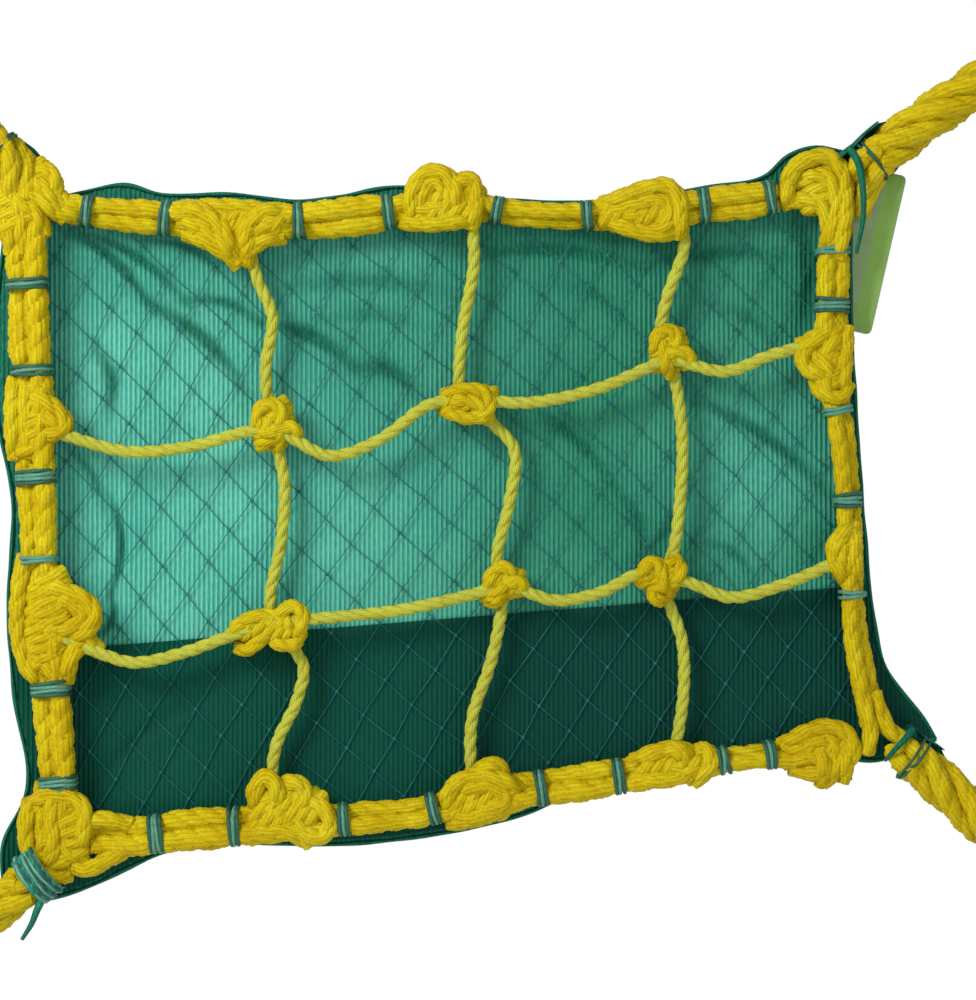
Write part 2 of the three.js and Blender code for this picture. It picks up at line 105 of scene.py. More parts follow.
LASHINGS = {  # place along the side: how many turns of twine
    "top": {-179.5: 3, -140.2: 3, -72.6: 3, -25.5: 3, 28.8: 3, 74: 3, 135: 3, 168.3: 3},
    "bottom": {-145.3: 4, -104.6: 3, -48.5: 3, -3: 3, 51: 3, 91.8: 3, 145: 3, 168.3: 3},
    "left": {109.7: 3, 66: 3, 11.2: 4, -31.2: 2, -96.9: 4, -143.8: 4},
    "right": {127.5: 2, 99: 4, 45.5: 2, 0: 4, -48.5: 2},
}
TIES = {  # pivot, heading at the corner and at the eye in degrees
    "tl": ((-221, 175), (137, 150)),
    "tr": ((221.3, 173.4), (39, 26)),
    "bl": ((-212, -196.5), (218, 226)),
    "br": ((240, -132), (-38, -58)),
}

# ---- paths ----


def unit(v):
    return v / np.maximum(np.linalg.norm(v, axis=-1, keepdims=True), 1e-9)


def arc_lengths(path):
    return np.concatenate([[0.0], np.cumsum(np.linalg.norm(np.diff(path, axis=0), axis=1))])


def in_even_steps(path, count):
    s = arc_lengths(path)
    at = np.linspace(0, s[-1], count)
    return np.stack([np.interp(at, s, path[:, k]) for k in range(path.shape[1])], axis=1)


def resample(path, step):
    return in_even_steps(path, max(2, int(round(arc_lengths(path)[-1] / step)) + 1))


def spline(points, step):
    """The centripetal Catmull-Rom curve through the points, in even steps."""
    p = np.array(points, float)
    p = np.vstack([2 * p[0] - p[1], p, 2 * p[-1] - p[-2]])
    t = np.linspace(0, 1, 24, endpoint=False)[:, None]
    out = []
    for a, b, c, d in zip(p, p[1:], p[2:], p[3:]):
        d0, d1, d2 = (math.sqrt(max(np.linalg.norm(v), 1e-6)) for v in (b - a, c - b, d - c))
        m1 = ((b - a) / d0 - (c - a) / (d0 + d1) + (c - b) / d1) * d1
        m2 = ((c - b) / d1 - (d - b) / (d1 + d2) + (d - c) / d2) * d1
        h = 2 * t**3 - 3 * t**2
        out.append(b * (h + 1) + c * -h + m1 * (t**3 - 2 * t**2 + t) + m2 * (t**3 - t**2))
    return resample(np.vstack(out + [p[-2:-1]]), step)


def at_depth(points, y):
    """(x, z) points as (x, y, z)."""
    p = np.array(points, float)
    return np.stack([p[:, 0], np.full(len(p), float(y)), p[:, 1]], axis=1)


def placed(centre, along, across, u, v, w=0.0):
    """Points at u along, v across and w towards the front of the centre."""
    u, v, w = (np.asarray(a)[..., None] for a in (u, v, w))
    return centre + u * along + v * across + w * FRONT


def carried_frames(path):
    """A normal and binormal at each point that turn as little as they can."""
    tangent = unit(np.gradient(path, axis=0))
    n = unit(FRONT - tangent[0] * (FRONT @ tangent[0]))
    if abs(FRONT @ tangent[0]) > 0.95:
        n = unit(np.cross(tangent[0], [1.0, 0.3, 0.2]))
    normals = [n]
    for t in tangent[1:]:
        n = n - t * (n @ t)
        n = n / np.linalg.norm(n)
        normals.append(n)
    normals = np.array(normals)
    return tangent, normals, np.cross(tangent, normals)


def wobble(s, seed, size, wavelength):
    """A smooth random wave along s."""
    rng = np.random.default_rng(seed)
    total = np.zeros_like(s)
    for k in range(3):
        phase = rng.uniform(0, 2 * math.pi)
        total += np.sin(2 * math.pi * s / (wavelength * rng.uniform(0.6, 1.5)) + phase)
    return size * total / 2


# ---- meshes ----
class Build:
    """Collects the surfaces of one piece, with two values at each point for its material. yarn is
    the place on a strand (on cloth, its ribs and painted shade), and tone is how much of the second
    colour."""

    def __init__(self):
        self.verts, self.loops, self.sizes, self.yarn, self.tone = [], [], [], [], []
        self.count = 0

    def add(self, verts, faces, yarn=None, tone=0.0):
        n = len(verts)
        self.verts.append(verts)
        self.loops.append((faces + self.count).ravel())
        self.sizes.append(np.full(len(faces), faces.shape[1]))
        self.yarn.append(np.zeros((n, 3)) if yarn is None else yarn)
        self.tone.append(np.broadcast_to(np.asarray(tone, float), (n,)))
        self.count += n

    def tube(self, path, radius, sides=8, out=None, turn=0.0, tone=0.0, closed=False, rough=0.0):
        """A round tube. out points away from the rope's middle, turn is how far its yarns have
        turned at each point, and rough is how uneven the surface is, as a part of the radius."""
        if out is None:
            tangent, out, side = carried_frames(path)
        else:
            tangent = unit(np.gradient(path, axis=0))
            out = unit(out - tangent * np.sum(out * tangent, axis=1, keepdims=True))
            side = np.cross(tangent, out)
        radius = np.broadcast_to(np.asarray(radius, float), (len(path),))[:, None, None]
        if rough:
            rng = np.random.default_rng(self.count)
            radius = radius * (1 + rng.normal(0, rough, (len(path), sides, 1)))
        angle = np.arange(sides) * 2 * math.pi / sides
        ring = out[:, None] * np.cos(angle)[:, None] + side[:, None] * np.sin(angle)[:, None]
        verts = path[:, None] + radius * ring
        rows = len(path)
        s = arc_lengths(path)
        phase = angle[None, :] + np.broadcast_to(turn, (rows,))[:, None]
        along = np.broadcast_to(s[:, None], phase.shape)
        yarn = np.stack([np.cos(phase), np.sin(phase), along * 0.1], axis=2)
        index = np.arange(rows * sides).reshape(rows, sides)
        last = index[1:] if not closed else np.roll(index, -1, axis=0)
        first = index[:-1] if not closed else index
        faces = np.stack([first, np.roll(first, -1, axis=1), np.roll(last, -1, axis=1), last],
                         axis=2)
        tones = np.broadcast_to(np.asarray(tone, float), (rows,))
        tones = np.broadcast_to(tones[:, None], (rows, sides)).ravel()
        self.add(verts.reshape(-1, 3), faces.reshape(-1, 4), yarn.reshape(-1, 3), tones)
        if not closed:
            for end, sign in ((0, -1), (-1, 1)):
                tip = path[end] + sign * tangent[end] * radius[end, 0, 0] * 0.45
                rim = verts[end] if sign > 0 else verts[end][::-1]
                fan = np.vstack([rim, tip])
                around = np.arange(sides)
                tris = np.stack([around, np.roll(around, -1), np.full(sides, sides)], axis=1)
                self.add(fan, tris, np.vstack([yarn[end] if sign > 0 else yarn[end][::-1],
                                               yarn[end][:1]]), float(tones[0]))

    def rope(self, path, radius, lay=None, relief=0.36, phase=0.0, scale=1.0, tone=0.0):
        """A laid rope of three strands wound round the path, each with its own yarns. relief is
        how far out the strands lie: their furrows are deeper the further out they are."""
        strands, sides, lay = 3, 11, lay or radius * 7
        _, normal, side = carried_frames(path)
        s = arc_lengths(path)
        scale = np.broadcast_to(np.asarray(scale, float), (len(path),))
        for k in range(strands):
            angle = 2 * math.pi * (s / lay + k / strands) + phase
            out = normal * np.cos(angle)[:, None] + side * np.sin(angle)[:, None]
            centre = path + out * (radius * relief * scale)[:, None]
            turn = 2 * math.pi * 1.02 / (1.02 - relief) * s / lay + k * 2.1
            self.tube(centre, radius * (1.02 - relief) * scale, sides, out, turn, tone, rough=0.04)

    def piece(self, name, surface):
        """Makes the object. surface is its material and the record's slot for it; the slot is not
        used.
        """
        material, slot = surface
        verts = np.concatenate(self.verts) * MM
        sizes = np.concatenate(self.sizes)
        mesh = bpy.data.meshes.new(name)
        mesh.vertices.add(len(verts))
        mesh.vertices.foreach_set("co", verts.astype(np.float32).ravel())
        loops = np.concatenate(self.loops)
        mesh.loops.add(len(loops))
        mesh.loops.foreach_set("vertex_index", loops.astype(np.int32))
        mesh.polygons.add(len(sizes))
        starts = np.concatenate([[0], np.cumsum(sizes)[:-1]])
        mesh.polygons.foreach_set("loop_start", starts.astype(np.int32))
        mesh.update(calc_edges=True)
        mesh.polygons.foreach_set("use_smooth", np.ones(len(sizes), bool))
        for label, kind, key, values in (("yarn", "FLOAT_VECTOR", "vector", self.yarn),
                                         ("tone", "FLOAT", "value", self.tone)):
            data = mesh.attributes.new(label, kind, "POINT").data
            data.foreach_set(key, np.concatenate(values).astype(np.float32).ravel())
        mesh.materials.append(material)
        obj = bpy.data.objects.new(name, mesh)
        bpy.context.scene.collection.objects.link(obj)
        return obj


# ---- materials ----
class Nodes:
    """Short calls for building one material's node tree."""

    def __init__(self, name, roughness, specular):
        self.material = bpy.data.materials.new(name)
        self.material.use_nodes = True
        self.tree = self.material.node_tree
        self.shader = self.tree.nodes["Principled BSDF"]
        self.shader.inputs["Roughness"].default_value = roughness
        self.shader.inputs["Specular IOR Level"].default_value = specular

    def new(self, kind, **settings):
        node = self.tree.nodes.new(kind)
        for key, value in settings.items():
            setattr(node, key, value)
        return node

    def link(self, a, b):
        self.tree.links.new(a, b)

    def attribute(self, name):
        return self.new("ShaderNodeAttribute", attribute_name=name)

    def math(self, operation, a, b=None, clamp=False):
        node = self.new("ShaderNodeMath", operation=operation, use_clamp=clamp)
        for socket, value in zip(node.inputs, (a, b)):
            if value is None:
                continue
            if isinstance(value, (int, float)):
                socket.default_value = value
            else:
                self.link(value, socket)
        return node.outputs[0]

    def noise(self, vector, scale, detail=2.0):
        node = self.new("ShaderNodeTexNoise")
        node.inputs["Scale"].default_value = scale
        node.inputs["Detail"].default_value = detail
        self.link(vector, node.inputs["Vector"])
        return node.outputs["Fac"]

    def object_space(self, stretch=(1, 1, 1)):
        mapping = self.new("ShaderNodeMapping")
        mapping.inputs["Scale"].default_value = stretch
        self.link(self.new("ShaderNodeTexCoord").outputs["Object"], mapping.inputs["Vector"])
        return mapping.outputs["Vector"]

    def ramp(self, value, stops):
        node = self.new("ShaderNodeValToRGB")
        elements = node.color_ramp.elements
        while len(elements) < len(stops):
            elements.new(0.5)
        for element, (position, color) in zip(elements, stops):
            element.position = position
            element.color = (*color, 1)
        self.link(value, node.inputs["Fac"])
        return node.outputs["Color"]

    def mix(self, factor, a, b):
        node = self.new("ShaderNodeMix", data_type="RGBA")
        for socket, value in ((node.inputs[0], factor), (node.inputs[6], a), (node.inputs[7], b)):
            if isinstance(value, (int, float)):
                socket.default_value = value
            elif isinstance(value, tuple):
                socket.default_value = (*value, 1)
            else:
                self.link(value, socket)
        return node.outputs[2]

    def bump(self, height, distance, strength=1.0):
        node = self.new("ShaderNodeBump")
        node.inputs["Strength"].default_value = strength
        node.inputs["Distance"].default_value = distance
        self.link(height, node.inputs["Height"])
        self.link(node.outputs["Normal"], self.shader.inputs["Normal"])

    def color(self, socket):
        self.link(socket, self.shader.inputs["Base Color"])


def yarn_pattern(n, count):
    """Height of the yarns that run along a strand, 0 in the furrows and 1 on the ridges."""
    parts = n.new("ShaderNodeSeparateXYZ")
    n.link(n.attribute("yarn").outputs["Vector"], parts.inputs[0])
    angle = n.math("ARCTAN2", parts.outputs[1], parts.outputs[0])
    return n.math("ABSOLUTE", n.math("SINE", n.math("MULTIPLY", angle, count)))


def fibre_noise(n, scale, along):
    """Noise drawn out along the yarns."""
    mapping = n.new("ShaderNodeMapping")
    mapping.inputs["Scale"].default_value = (1, 1, along)
    n.link(n.attribute("yarn").outputs["Vector"], mapping.inputs["Vector"])
    return n.noise(mapping.outputs["Vector"], scale, 3)


def rope_material():
    n = Nodes("yellow_rope", 0.6, 0.15)
    n.shader.inputs["Specular Tint"].default_value = (1.0, 0.88, 0.35, 1)
    yarns = yarn_pattern(n, 4.5)
    fibres = fibre_noise(n, 5.5, 0.22)
    patches = n.noise(n.object_space(), 24.0, 3)
    shade = n.math("ADD", n.math("MULTIPLY", fibres, 0.7), n.math("MULTIPLY", patches, 0.4))
    body = n.ramp(shade, [(0.36, (0.41, 0.25, 0.003)), (0.48, (0.515, 0.385, 0.004)),
                          (0.60, (0.585, 0.475, 0.006)), (0.74, (0.67, 0.60, 0.03))])
    cords = n.mix(n.attribute("tone").outputs["Fac"], body, (0.42, 0.66, 0.13))
    # painted shade: the furrows between the yarns are painted darker brown
    furrows = n.math("SUBTRACT", 1.0, n.math("POWER", yarns, 0.5))
    furrow_shaded = n.mix(n.math("MULTIPLY", furrows, 0.42), cords, (0.31, 0.19, 0.002))
    spots = n.noise(n.object_space(), 260.0, 3)
    flecks = n.ramp(spots, [(0.36, (0.3, 0.3, 0.3)), (0.5, (0, 0, 0))])
    n.color(n.mix(flecks, furrow_shaded, (0.38, 0.19, 0.002)))
    wear = n.noise(n.object_space(), 500.0, 2)
    height = n.math("ADD", n.math("MULTIPLY", n.math("POWER", yarns, 0.6), 0.6),
                    n.math("MULTIPLY", fibres, 0.9))
    n.bump(n.math("ADD", height, n.math("MULTIPLY", wear, 0.4)), 0.0007, 0.7)
    return n.material


def twine_material():
    n = Nodes("green_twine", 0.45, 0.25)
    fibres = fibre_noise(n, 4.0, 0.5)
    dark = n.ramp(fibres, [(0.3, (0.004, 0.035, 0.02)), (0.7, (0.014, 0.105, 0.06))])
    pale = n.ramp(fibres, [(0.3, (0.06, 0.26, 0.17)), (0.7, (0.22, 0.52, 0.38))])
    # tone picks the pale colour, which on the lashings' inner turns is a painted highlight
    n.color(n.mix(n.attribute("tone").outputs["Fac"], dark, pale))
    n.bump(yarn_pattern(n, 1.5), 0.0003, 0.8)
    return n.material


def cloth_color(n, bright, green, dense):
    """Knitted ribs, each colour given as (chain, gap): from the pair in light to the pair in shade,
    painted where the cloth hangs in less light, and dense where it lies double, also painted as
    shade on creases."""
    parts = n.new("ShaderNodeSeparateXYZ")
    n.link(n.attribute("yarn").outputs["Vector"], parts.inputs[0])
    wave = n.math("COSINE", n.math("MULTIPLY", parts.outputs[0], 2 * math.pi))
    stitches = n.noise(n.object_space((1, 1, 0.4)), 800.0, 2)
    patches = n.noise(n.object_space((1, 1, 0.6)), 22.0, 4)
    soft = n.math("SUBTRACT", patches, 0.5)
    level = n.math("ADD", n.math("MULTIPLY", wave, 0.26), n.math("MULTIPLY", stitches, 0.6))
    level = n.math("ADD", level, n.math("MULTIPLY", soft, 0.9))
    lit = n.ramp(level, [(0.05, bright[1]), (0.65, bright[0])])
    dim = n.ramp(level, [(0.05, green[1]), (0.65, green[0])])
    # how much painted shade: the yarn's third value, with some patches
    depth = n.math("ADD", parts.outputs[2], n.math("MULTIPLY", soft, 0.5), clamp=True)
    doubled_and_shaded = n.ramp(stitches, [(0.3, dense[1]), (0.7, dense[0])])
    n.color(n.mix(n.attribute("tone").outputs["Fac"], n.mix(depth, lit, dim), doubled_and_shaded))
    n.bump(n.math("ADD", wave, stitches), 0.0003, 0.6)


def shade_cloth_material():
    n = Nodes("shade_cloth", 0.6, 0.12)
    # rib colours in light, in painted shade, and where the cloth lies double
    cloth_color(n, ((0.15, 0.56, 0.43), (0.035, 0.30, 0.225)),
                ((0.035, 0.265, 0.155), (0.008, 0.135, 0.08)),
                ((0.010, 0.16, 0.095), (0.003, 0.085, 0.05)))
    return n.material


def painted_shade_layer_material():
    n = Nodes("dark_layer", 0.65, 0.1)
    # painted shade: a dark sheet that stands in for the dark seen through the cloth over the lower
    # row
    cloth_color(n, ((0.0015, 0.080, 0.046), (0.001, 0.052, 0.034)),
                ((0.001, 0.050, 0.036), (0.0008, 0.034, 0.026)),
                ((0.003, 0.065, 0.035), (0.002, 0.04, 0.022)))
    return n.material


def fine_net_material():
    n = Nodes("fine_net", 0.55, 0.15)
    spots = n.noise(n.object_space(), 120.0, 2)
    net_in_light = n.ramp(spots, [(0.3, (0.010, 0.115, 0.115)), (0.7, (0.03, 0.19, 0.18))])
    net_in_shade = n.ramp(spots, [(0.3, (0.005, 0.082, 0.092)), (0.7, (0.018, 0.145, 0.155))])
    # tone 1 paints the net darker, as shade, where it lies over the painted shade layer
    n.color(n.mix(n.attribute("tone").outputs["Fac"], net_in_light, net_in_shade))
    n.bump(fibre_noise(n, 5.0, 1.0), 0.0001, 0.6)
    return n.material


def tag_material():
    n = Nodes("tag_card", 0.18, 0.5)
    spots = n.noise(n.object_space((1, 1, 0.4)), 60.0, 3)
    card = n.ramp(spots, [(0.3, (0.17, 0.36, 0.04)), (0.7, (0.24, 0.46, 0.07))])
    strip = n.ramp(spots, [(0.3, (0.17, 0.29, 0.10)), (0.7, (0.27, 0.40, 0.16))])
    n.color(n.mix(n.attribute("tone").outputs["Fac"], card, strip))
    n.bump(n.noise(n.object_space(), 90.0, 2), 0.0006, 0.5)
    return n.material


ROPE = (rope_material(), "yellow_rope")
TWINE = (twine_material(), "green_twine")
CLOTH = (shade_cloth_material(), "shade_cloth")
LAYER = (painted_shade_layer_material(), "dark_layer")
FINE_NET = (fine_net_material(), "fine_net")
CARD = (tag_material(), "tag_card")


# ---- camera, light and floor ----
def make_camera():
    distance, height, middle_x = 1.4, 0.51, 0.0245
    data = bpy.data.cameras.new("camera")
    data.sensor_width = 36
    data.lens = data.sensor_width * distance / height
    camera = bpy.data.objects.new("camera", data)
    camera.location = (middle_x, -distance, 0)
    camera.rotation_euler = (math.radians(90), 0, 0)
    bpy.context.scene.collection.objects.link(camera)
    bpy.context.scene.camera = camera


def area_light(name, location, size, power):
    data = bpy.data.lights.new(name, "AREA")
    data.size = size
    data.energy = power
    light = bpy.data.objects.new(name, data)
    light.location = location
    light.rotation_euler = (-Vector(location)).to_track_quat("-Z", "Y").to_euler()
    bpy.context.scene.collection.objects.link(light)


def make_studio():
    world = bpy.data.worlds.new("studio")
    world.use_nodes = True
    bpy.context.scene.world = world
    tree = world.node_tree
    soft = tree.nodes["Background"]
    soft.inputs["Color"].default_value = (1, 1, 1, 1)
    soft.inputs["Strength"].default_value = 0.5
    backdrop = tree.nodes.new("ShaderNodeBackground")
    backdrop.inputs["Color"].default_value = (1, 1, 1, 1)
    path = tree.nodes.new("ShaderNodeLightPath")
    mix = tree.nodes.new("ShaderNodeMixShader")
    tree.links.new(path.outputs["Is Camera Ray"], mix.inputs[0])
    tree.links.new(soft.outputs[0], mix.inputs[1])
    tree.links.new(backdrop.outputs[0], mix.inputs[2])
    tree.links.new(mix.outputs[0], tree.nodes["World Output"].inputs[0])
    area_light("key", (-0.95, -1.0, 0.75), 0.6, 21)
    area_light("fill", (0.9, -1.5, -0.2), 1.2, 5)
    bpy.context.scene.view_settings.view_transform = "Standard"

    floor = bpy.data.meshes.new("floor")
    near, far, reach, drop = -5.0, 1.7, 4.0, -0.62  # its far edge stays below the picture
    corners = [(-reach, near, drop), (reach, near, drop), (reach, far, drop), (-reach, far, drop)]
    floor.from_pydata(corners, [], [(0, 1, 2, 3)])
    n = Nodes("floor", 0.8, 0.3)
    pale = n.noise(n.object_space(), 3.0)
    n.color(n.ramp(pale, [(0.3, (0.91, 0.91, 0.91)), (0.7, (0.94, 0.94, 0.94))]))
    floor.materials.append(n.material)
    obj = bpy.data.objects.new("floor", floor)
    bpy.context.scene.collection.objects.link(obj)


make_camera()
make_studio()

BODY_OF = {n: body for body, nodes in frame["record"]["behaviour"]["bodies"].items() for n in nodes}


def stand_for(obj, *nodes, crosses_fold=False):
    """Puts the piece in the place of its CAD nodes: it rides on their body, or stays in place on
    no body if they are on both sides of the fold or it crosses the fold."""
    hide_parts(*nodes)
    if crosses_fold or len(nodes) > 1:
        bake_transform(obj)
    else:
        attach(obj, BODY_OF[nodes[0]])


# ---- tie ropes: the free cords ----
def tie_path(pivot, heading, step):
    start, end = (math.radians(a) for a in heading)
    bend = (end - start) / TIE_LENGTH
    s = np.linspace(0, TIE_LENGTH, int(TIE_LENGTH / step) + 1)
    x = pivot[0] + (np.sin(start + bend * s) - math.sin(start)) / bend
    z = pivot[1] - (np.cos(start + bend * s) - math.cos(start)) / bend
    return np.stack([x, np.full(len(s), TIE_Y), z], axis=1)


def cable(b, path, seed, squeeze=1.0):
    """Ropes of the border's size twisted together round the path, thinner where squeezed."""
    _, normal, side = carried_frames(path)
    s = arc_lengths(path)
    ropes, lay, thick, proud = 4, 95.0, 5.5, 1.3
    reach = TIE_R + proud - thick
    squeeze = np.broadcast_to(squeeze, (len(s),))
    for k in range(ropes):
        angle = 2 * math.pi * (s / lay + k / ropes) + 0.4 + wobble(s, seed + k, 0.12, 70)
        out = normal * np.cos(angle)[:, None] + side * np.sin(angle)[:, None]
        line = path + out * (reach * squeeze)[:, None]
        b.rope(line, thick, 34, 0.27, phase=k * 1.3, scale=squeeze)


def eye_outline(radius, straight, count):
    """A closed loop with round ends, from the throat round the tip and back."""
    right = np.linspace(-math.pi / 2, math.pi / 2, count)
    left = np.linspace(math.pi / 2, 3 * math.pi / 2, count)
    tip = np.stack([straight + radius * np.cos(right), radius * np.sin(right)], axis=1)
    root = np.stack([radius * np.cos(left), radius * np.sin(left)], axis=1)
    return np.vstack([tip, root, tip[:1]])


def make_tie(corner, pivot, heading):
    """A thick rope from its corner to a spliced eye just outside the picture."""
    path = tie_path(pivot, heading, 1.6)
    b = Build()
    cable(b, path, sum(map(ord, corner)))
    rope = b.piece("tie_rope_" + corner + "_laid", ROPE)
    stand_for(rope, "tie_rope_" + corner)

    loop_r, straight, loop_at, thick, lay = 12.2, 12.5, 19.5, 4.7, 26
    end, along = path[-1], unit(path[-1] - path[-2])
    across = np.array([-along[2], 0, along[0]])
    b = Build()
    u, v = eye_outline(loop_r, straight, 20).T
    b.rope(resample(placed(end, along, across, u + loop_at, v), 1.5), thick, lay)
    for side in (-1, 1):  # the rope's two parts come together at the throat
        leg = [(-1.5, 5.2 * side), (6, 5 * side), (12, 7.4 * side), (loop_at - 0.5, loop_r * side)]
        b.rope(placed(end, along, across, *spline(leg, 1.5).T), thick, lay, phase=side)
    t = np.linspace(0, 2 * math.pi, 40, endpoint=False)
    for k in range(6):  # seizing turns round the throat
        shift = 0.9 + k * 2.1 + 0.35 * np.sin(t + k)
        turn = placed(end, along, across, shift, 10.0 * np.cos(t), -9.7 * np.sin(t))
        b.tube(turn, TURN_R, 7, tone=0.2, closed=True)
    eye = b.piece("tie_eye_" + corner + "_spliced", ROPE)
    stand_for(eye, "tie_eye_" + corner)


for corner_name, (tie_pivot, tie_heading) in TIES.items():
    make_tie(corner_name, tie_pivot, tie_heading)


# ---- border ropes and lacing ----
def place_on(path, side, value):
    """Distance along the path at which its X, or its Z on an upright side, has this value."""
    axis = 0 if side in ("top", "bottom") else 2
    s = arc_lengths(path)
    return s[np.argmin(np.abs(path[:, axis] - value))]


def pinch_at(s, places):
    """1 where a lashing squeezes the ropes, 0 between lashings."""
    return np.clip(sum(np.exp(-(((s - p) / 4.2) ** 2)) for p in places), 0, 1)


BORDER_SHAPE = {  # place along the side: half the width of the two runs together
    "top": {-168: 8.2, -135: 9.5, -70: 9.8, -40: 10.2, -10: 8.0, 30: 6.8, 60: 6.6, 80: 8.0,
            130: 9.2, 155: 9.6, 180: 8.4},
    "bottom": {-170: 9.5, -120: 11, -60: 9, -22: 7.8, 20: 9, 70: 9.8, 120: 9, 155: 6.4, 180: 8},
    "left": {-150: 10.2, -90: 10.4, -20: 10.3, 60: 11.2, 150: 11.0},
    "right": {-115: 7.2, -60: 6.7, 20: 6.9, 60: 8.0, 85: 9.0, 120: 8.8},
}
BORDER_ENDS = {"top": (10, 16), "bottom": (3, 24), "left": (16, 20), "right": (34, 6)}  # in knots


def border_section(side, path, pinch):
    """The runs' radius, and how far each lies sideways and in front or behind, along the path."""
    places = sorted(BORDER_SHAPE[side])
    along = path[:, 0] if side in ("top", "bottom") else path[:, 2]
    half = np.interp(along, places, [BORDER_SHAPE[side][v] for v in places]) * (1 - 0.16 * pinch)
    thick = np.clip(half * 0.6, 4.6, 6.6)
    sideways = np.clip(half - thick, 0, thick * 0.75)
    behind = np.sqrt(np.maximum((thick * 0.75) ** 2 - sideways**2, 0)) * 0.9
    return thick, sideways, behind


def make_border(side, points):
    """Two runs of rope side by side, partly behind each other where the pair is narrow."""
    path = at_depth(spline(points, 1.8), 0)
    s = arc_lengths(path)
    pinch = pinch_at(s, [place_on(path, side, v) for v in LASHINGS[side]])
    kept = (s > BORDER_ENDS[side][0]) & (s < s[-1] - BORDER_ENDS[side][1])
    path, s, pinch = path[kept], s[kept], pinch[kept]
    across = np.cross(unit(np.gradient(path, axis=0)), FRONT)
    thick, sideways, behind = border_section(side, path, pinch)
    outward = 1 if side in ("top", "left") else -1
    b = Build()
    for run in (-1, 1):
        seed = 7 * len(side) + run
        swell = 1 + 0.04 * np.sin(s / 9 + seed) * (1 - pinch)
        apart = run * sideways + wobble(s, seed, 0.4, 60) * (1 - pinch)
        depth = run * outward * behind + wobble(s, seed + 3, 0.9, 55) * (1 - pinch)
        line = path + across * apart[:, None] - FRONT * depth[:, None]
        b.rope(line, BORDER_R, 32, 0.27, phase=run * 1.1 + seed, scale=thick / BORDER_R * swell)
    obj = b.piece("border_" + side + "_rope", ROPE)
    parts = [""] if side in ("top", "bottom") else ["_upper", "_lower"]
    stand_for(obj, *("border_rope_" + side + part for part in parts))


def lashing_turns(b, path, side, at, turns, seed):
    """Turns of twine round both runs and through the cloth behind them."""
    s = arc_lengths(path)
    point = lambda where: np.array([np.interp(where, s, path[:, i]) for i in range(3)])
    rng = np.random.default_rng(seed)
    t = np.linspace(0, 2 * math.pi, 44, endpoint=False)
    c, d = np.cos(t), np.sin(t)
    thick, sideways, behind = (v[0] for v in border_section(side, point(at)[None], 1.0))
    clear = thick * 1.03 + 0.3
    wide, front, back, squareness = sideways + clear, behind + clear, 13.0, 0.6
    x = wide * np.sign(c) * np.abs(c) ** squareness
    y = np.sign(d) * np.abs(d) ** squareness
    y = np.where(y > 0, y * front, y * back)
    for k in range(turns):
        where = at + (k - (turns - 1) / 2) * TURN_PITCH
        here = point(where)
        along = unit(point(where + 1) - here)
        skew = rng.uniform(-0.8, 0.8) * c + rng.uniform(-0.3, 0.3) * np.sin(3 * t)
        ring = placed(here, along, np.cross(along, FRONT), skew, x, y)
        # painted light: the outer turns are painted dark as the shadow at the lashing's edges, and
        # the inner ones pale as its highlight
        shadowed_edge_turn = k in (0, turns - 1) and turns > 2
        b.tube(ring, TURN_R, 7, turn=np.linspace(0, 20, len(t)), tone=0.1 if shadowed_edge_turn else 0.6,
               closed=True)


def make_lacing(side, points, suffix, keep):
    """The turns at the places that keep picks, and the twine that runs from turn to turn."""
    path = at_depth(spline(points, 2.0), 0)
    s = arc_lengths(path)
    places = [(place_on(path, side, v), n) for v, n in LASHINGS[side].items() if keep(v)]
    b = Build()
    for i, (at, turns) in enumerate(places):
        lashing_turns(b, path, side, at, turns, 31 * i + len(side))
    ends = [p[0] for p in places]
    inside = (s >= min(ends)) & (s <= max(ends))
    run = path[inside] - FRONT * TWINE_BEHIND
    run[:, 2] += wobble(s[inside], 5, 1.2, 40)
    b.tube(run, TWINE_R, 7, turn=s[inside] * 0.7)
    obj = b.piece("lacing_" + side + suffix, TWINE)
    stand_for(obj, "lashing_" + side + suffix, crosses_fold=bool(suffix))


for side_name, route in BORDERS.items():
    make_border(side_name, route)
    if side_name in ("top", "bottom"):
        make_lacing(side_name, route, "", lambda x: True)
    else:
        make_lacing(side_name, route, "_upper", lambda z: z > LACING_SPLIT)
        make_lacing(side_name, route, "_lower", lambda z: z < LACING_SPLIT)


# ---- mesh cords ----
def make_cord(name, points, y, *parts):
    """A mesh cord. parts are the endings of its CAD nodes' names."""
    path = at_depth(spline(points, 1.4), y)
    s = arc_lengths(path)
    path[:, 1] += wobble(s, len(points), 0.3, 90)
    b = Build()
    b.rope(path, CORD_R, CORD_LAY, 0.4, phase=len(name) * 0.7 + points[0][0], tone=0.45)
    stand_for(b.piece(name + "_rope", ROPE), *(name + part for part in parts))


for i, route in enumerate(VERTICAL_CORDS, 1):
    make_cord(f"mesh_cord_v{i}", route, CORD_V_Y, "_upper", "_lower")
for i, route in enumerate(HORIZONTAL_CORDS, 1):
    make_cord(f"mesh_cord_h{i}", route, CORD_H_Y, "")


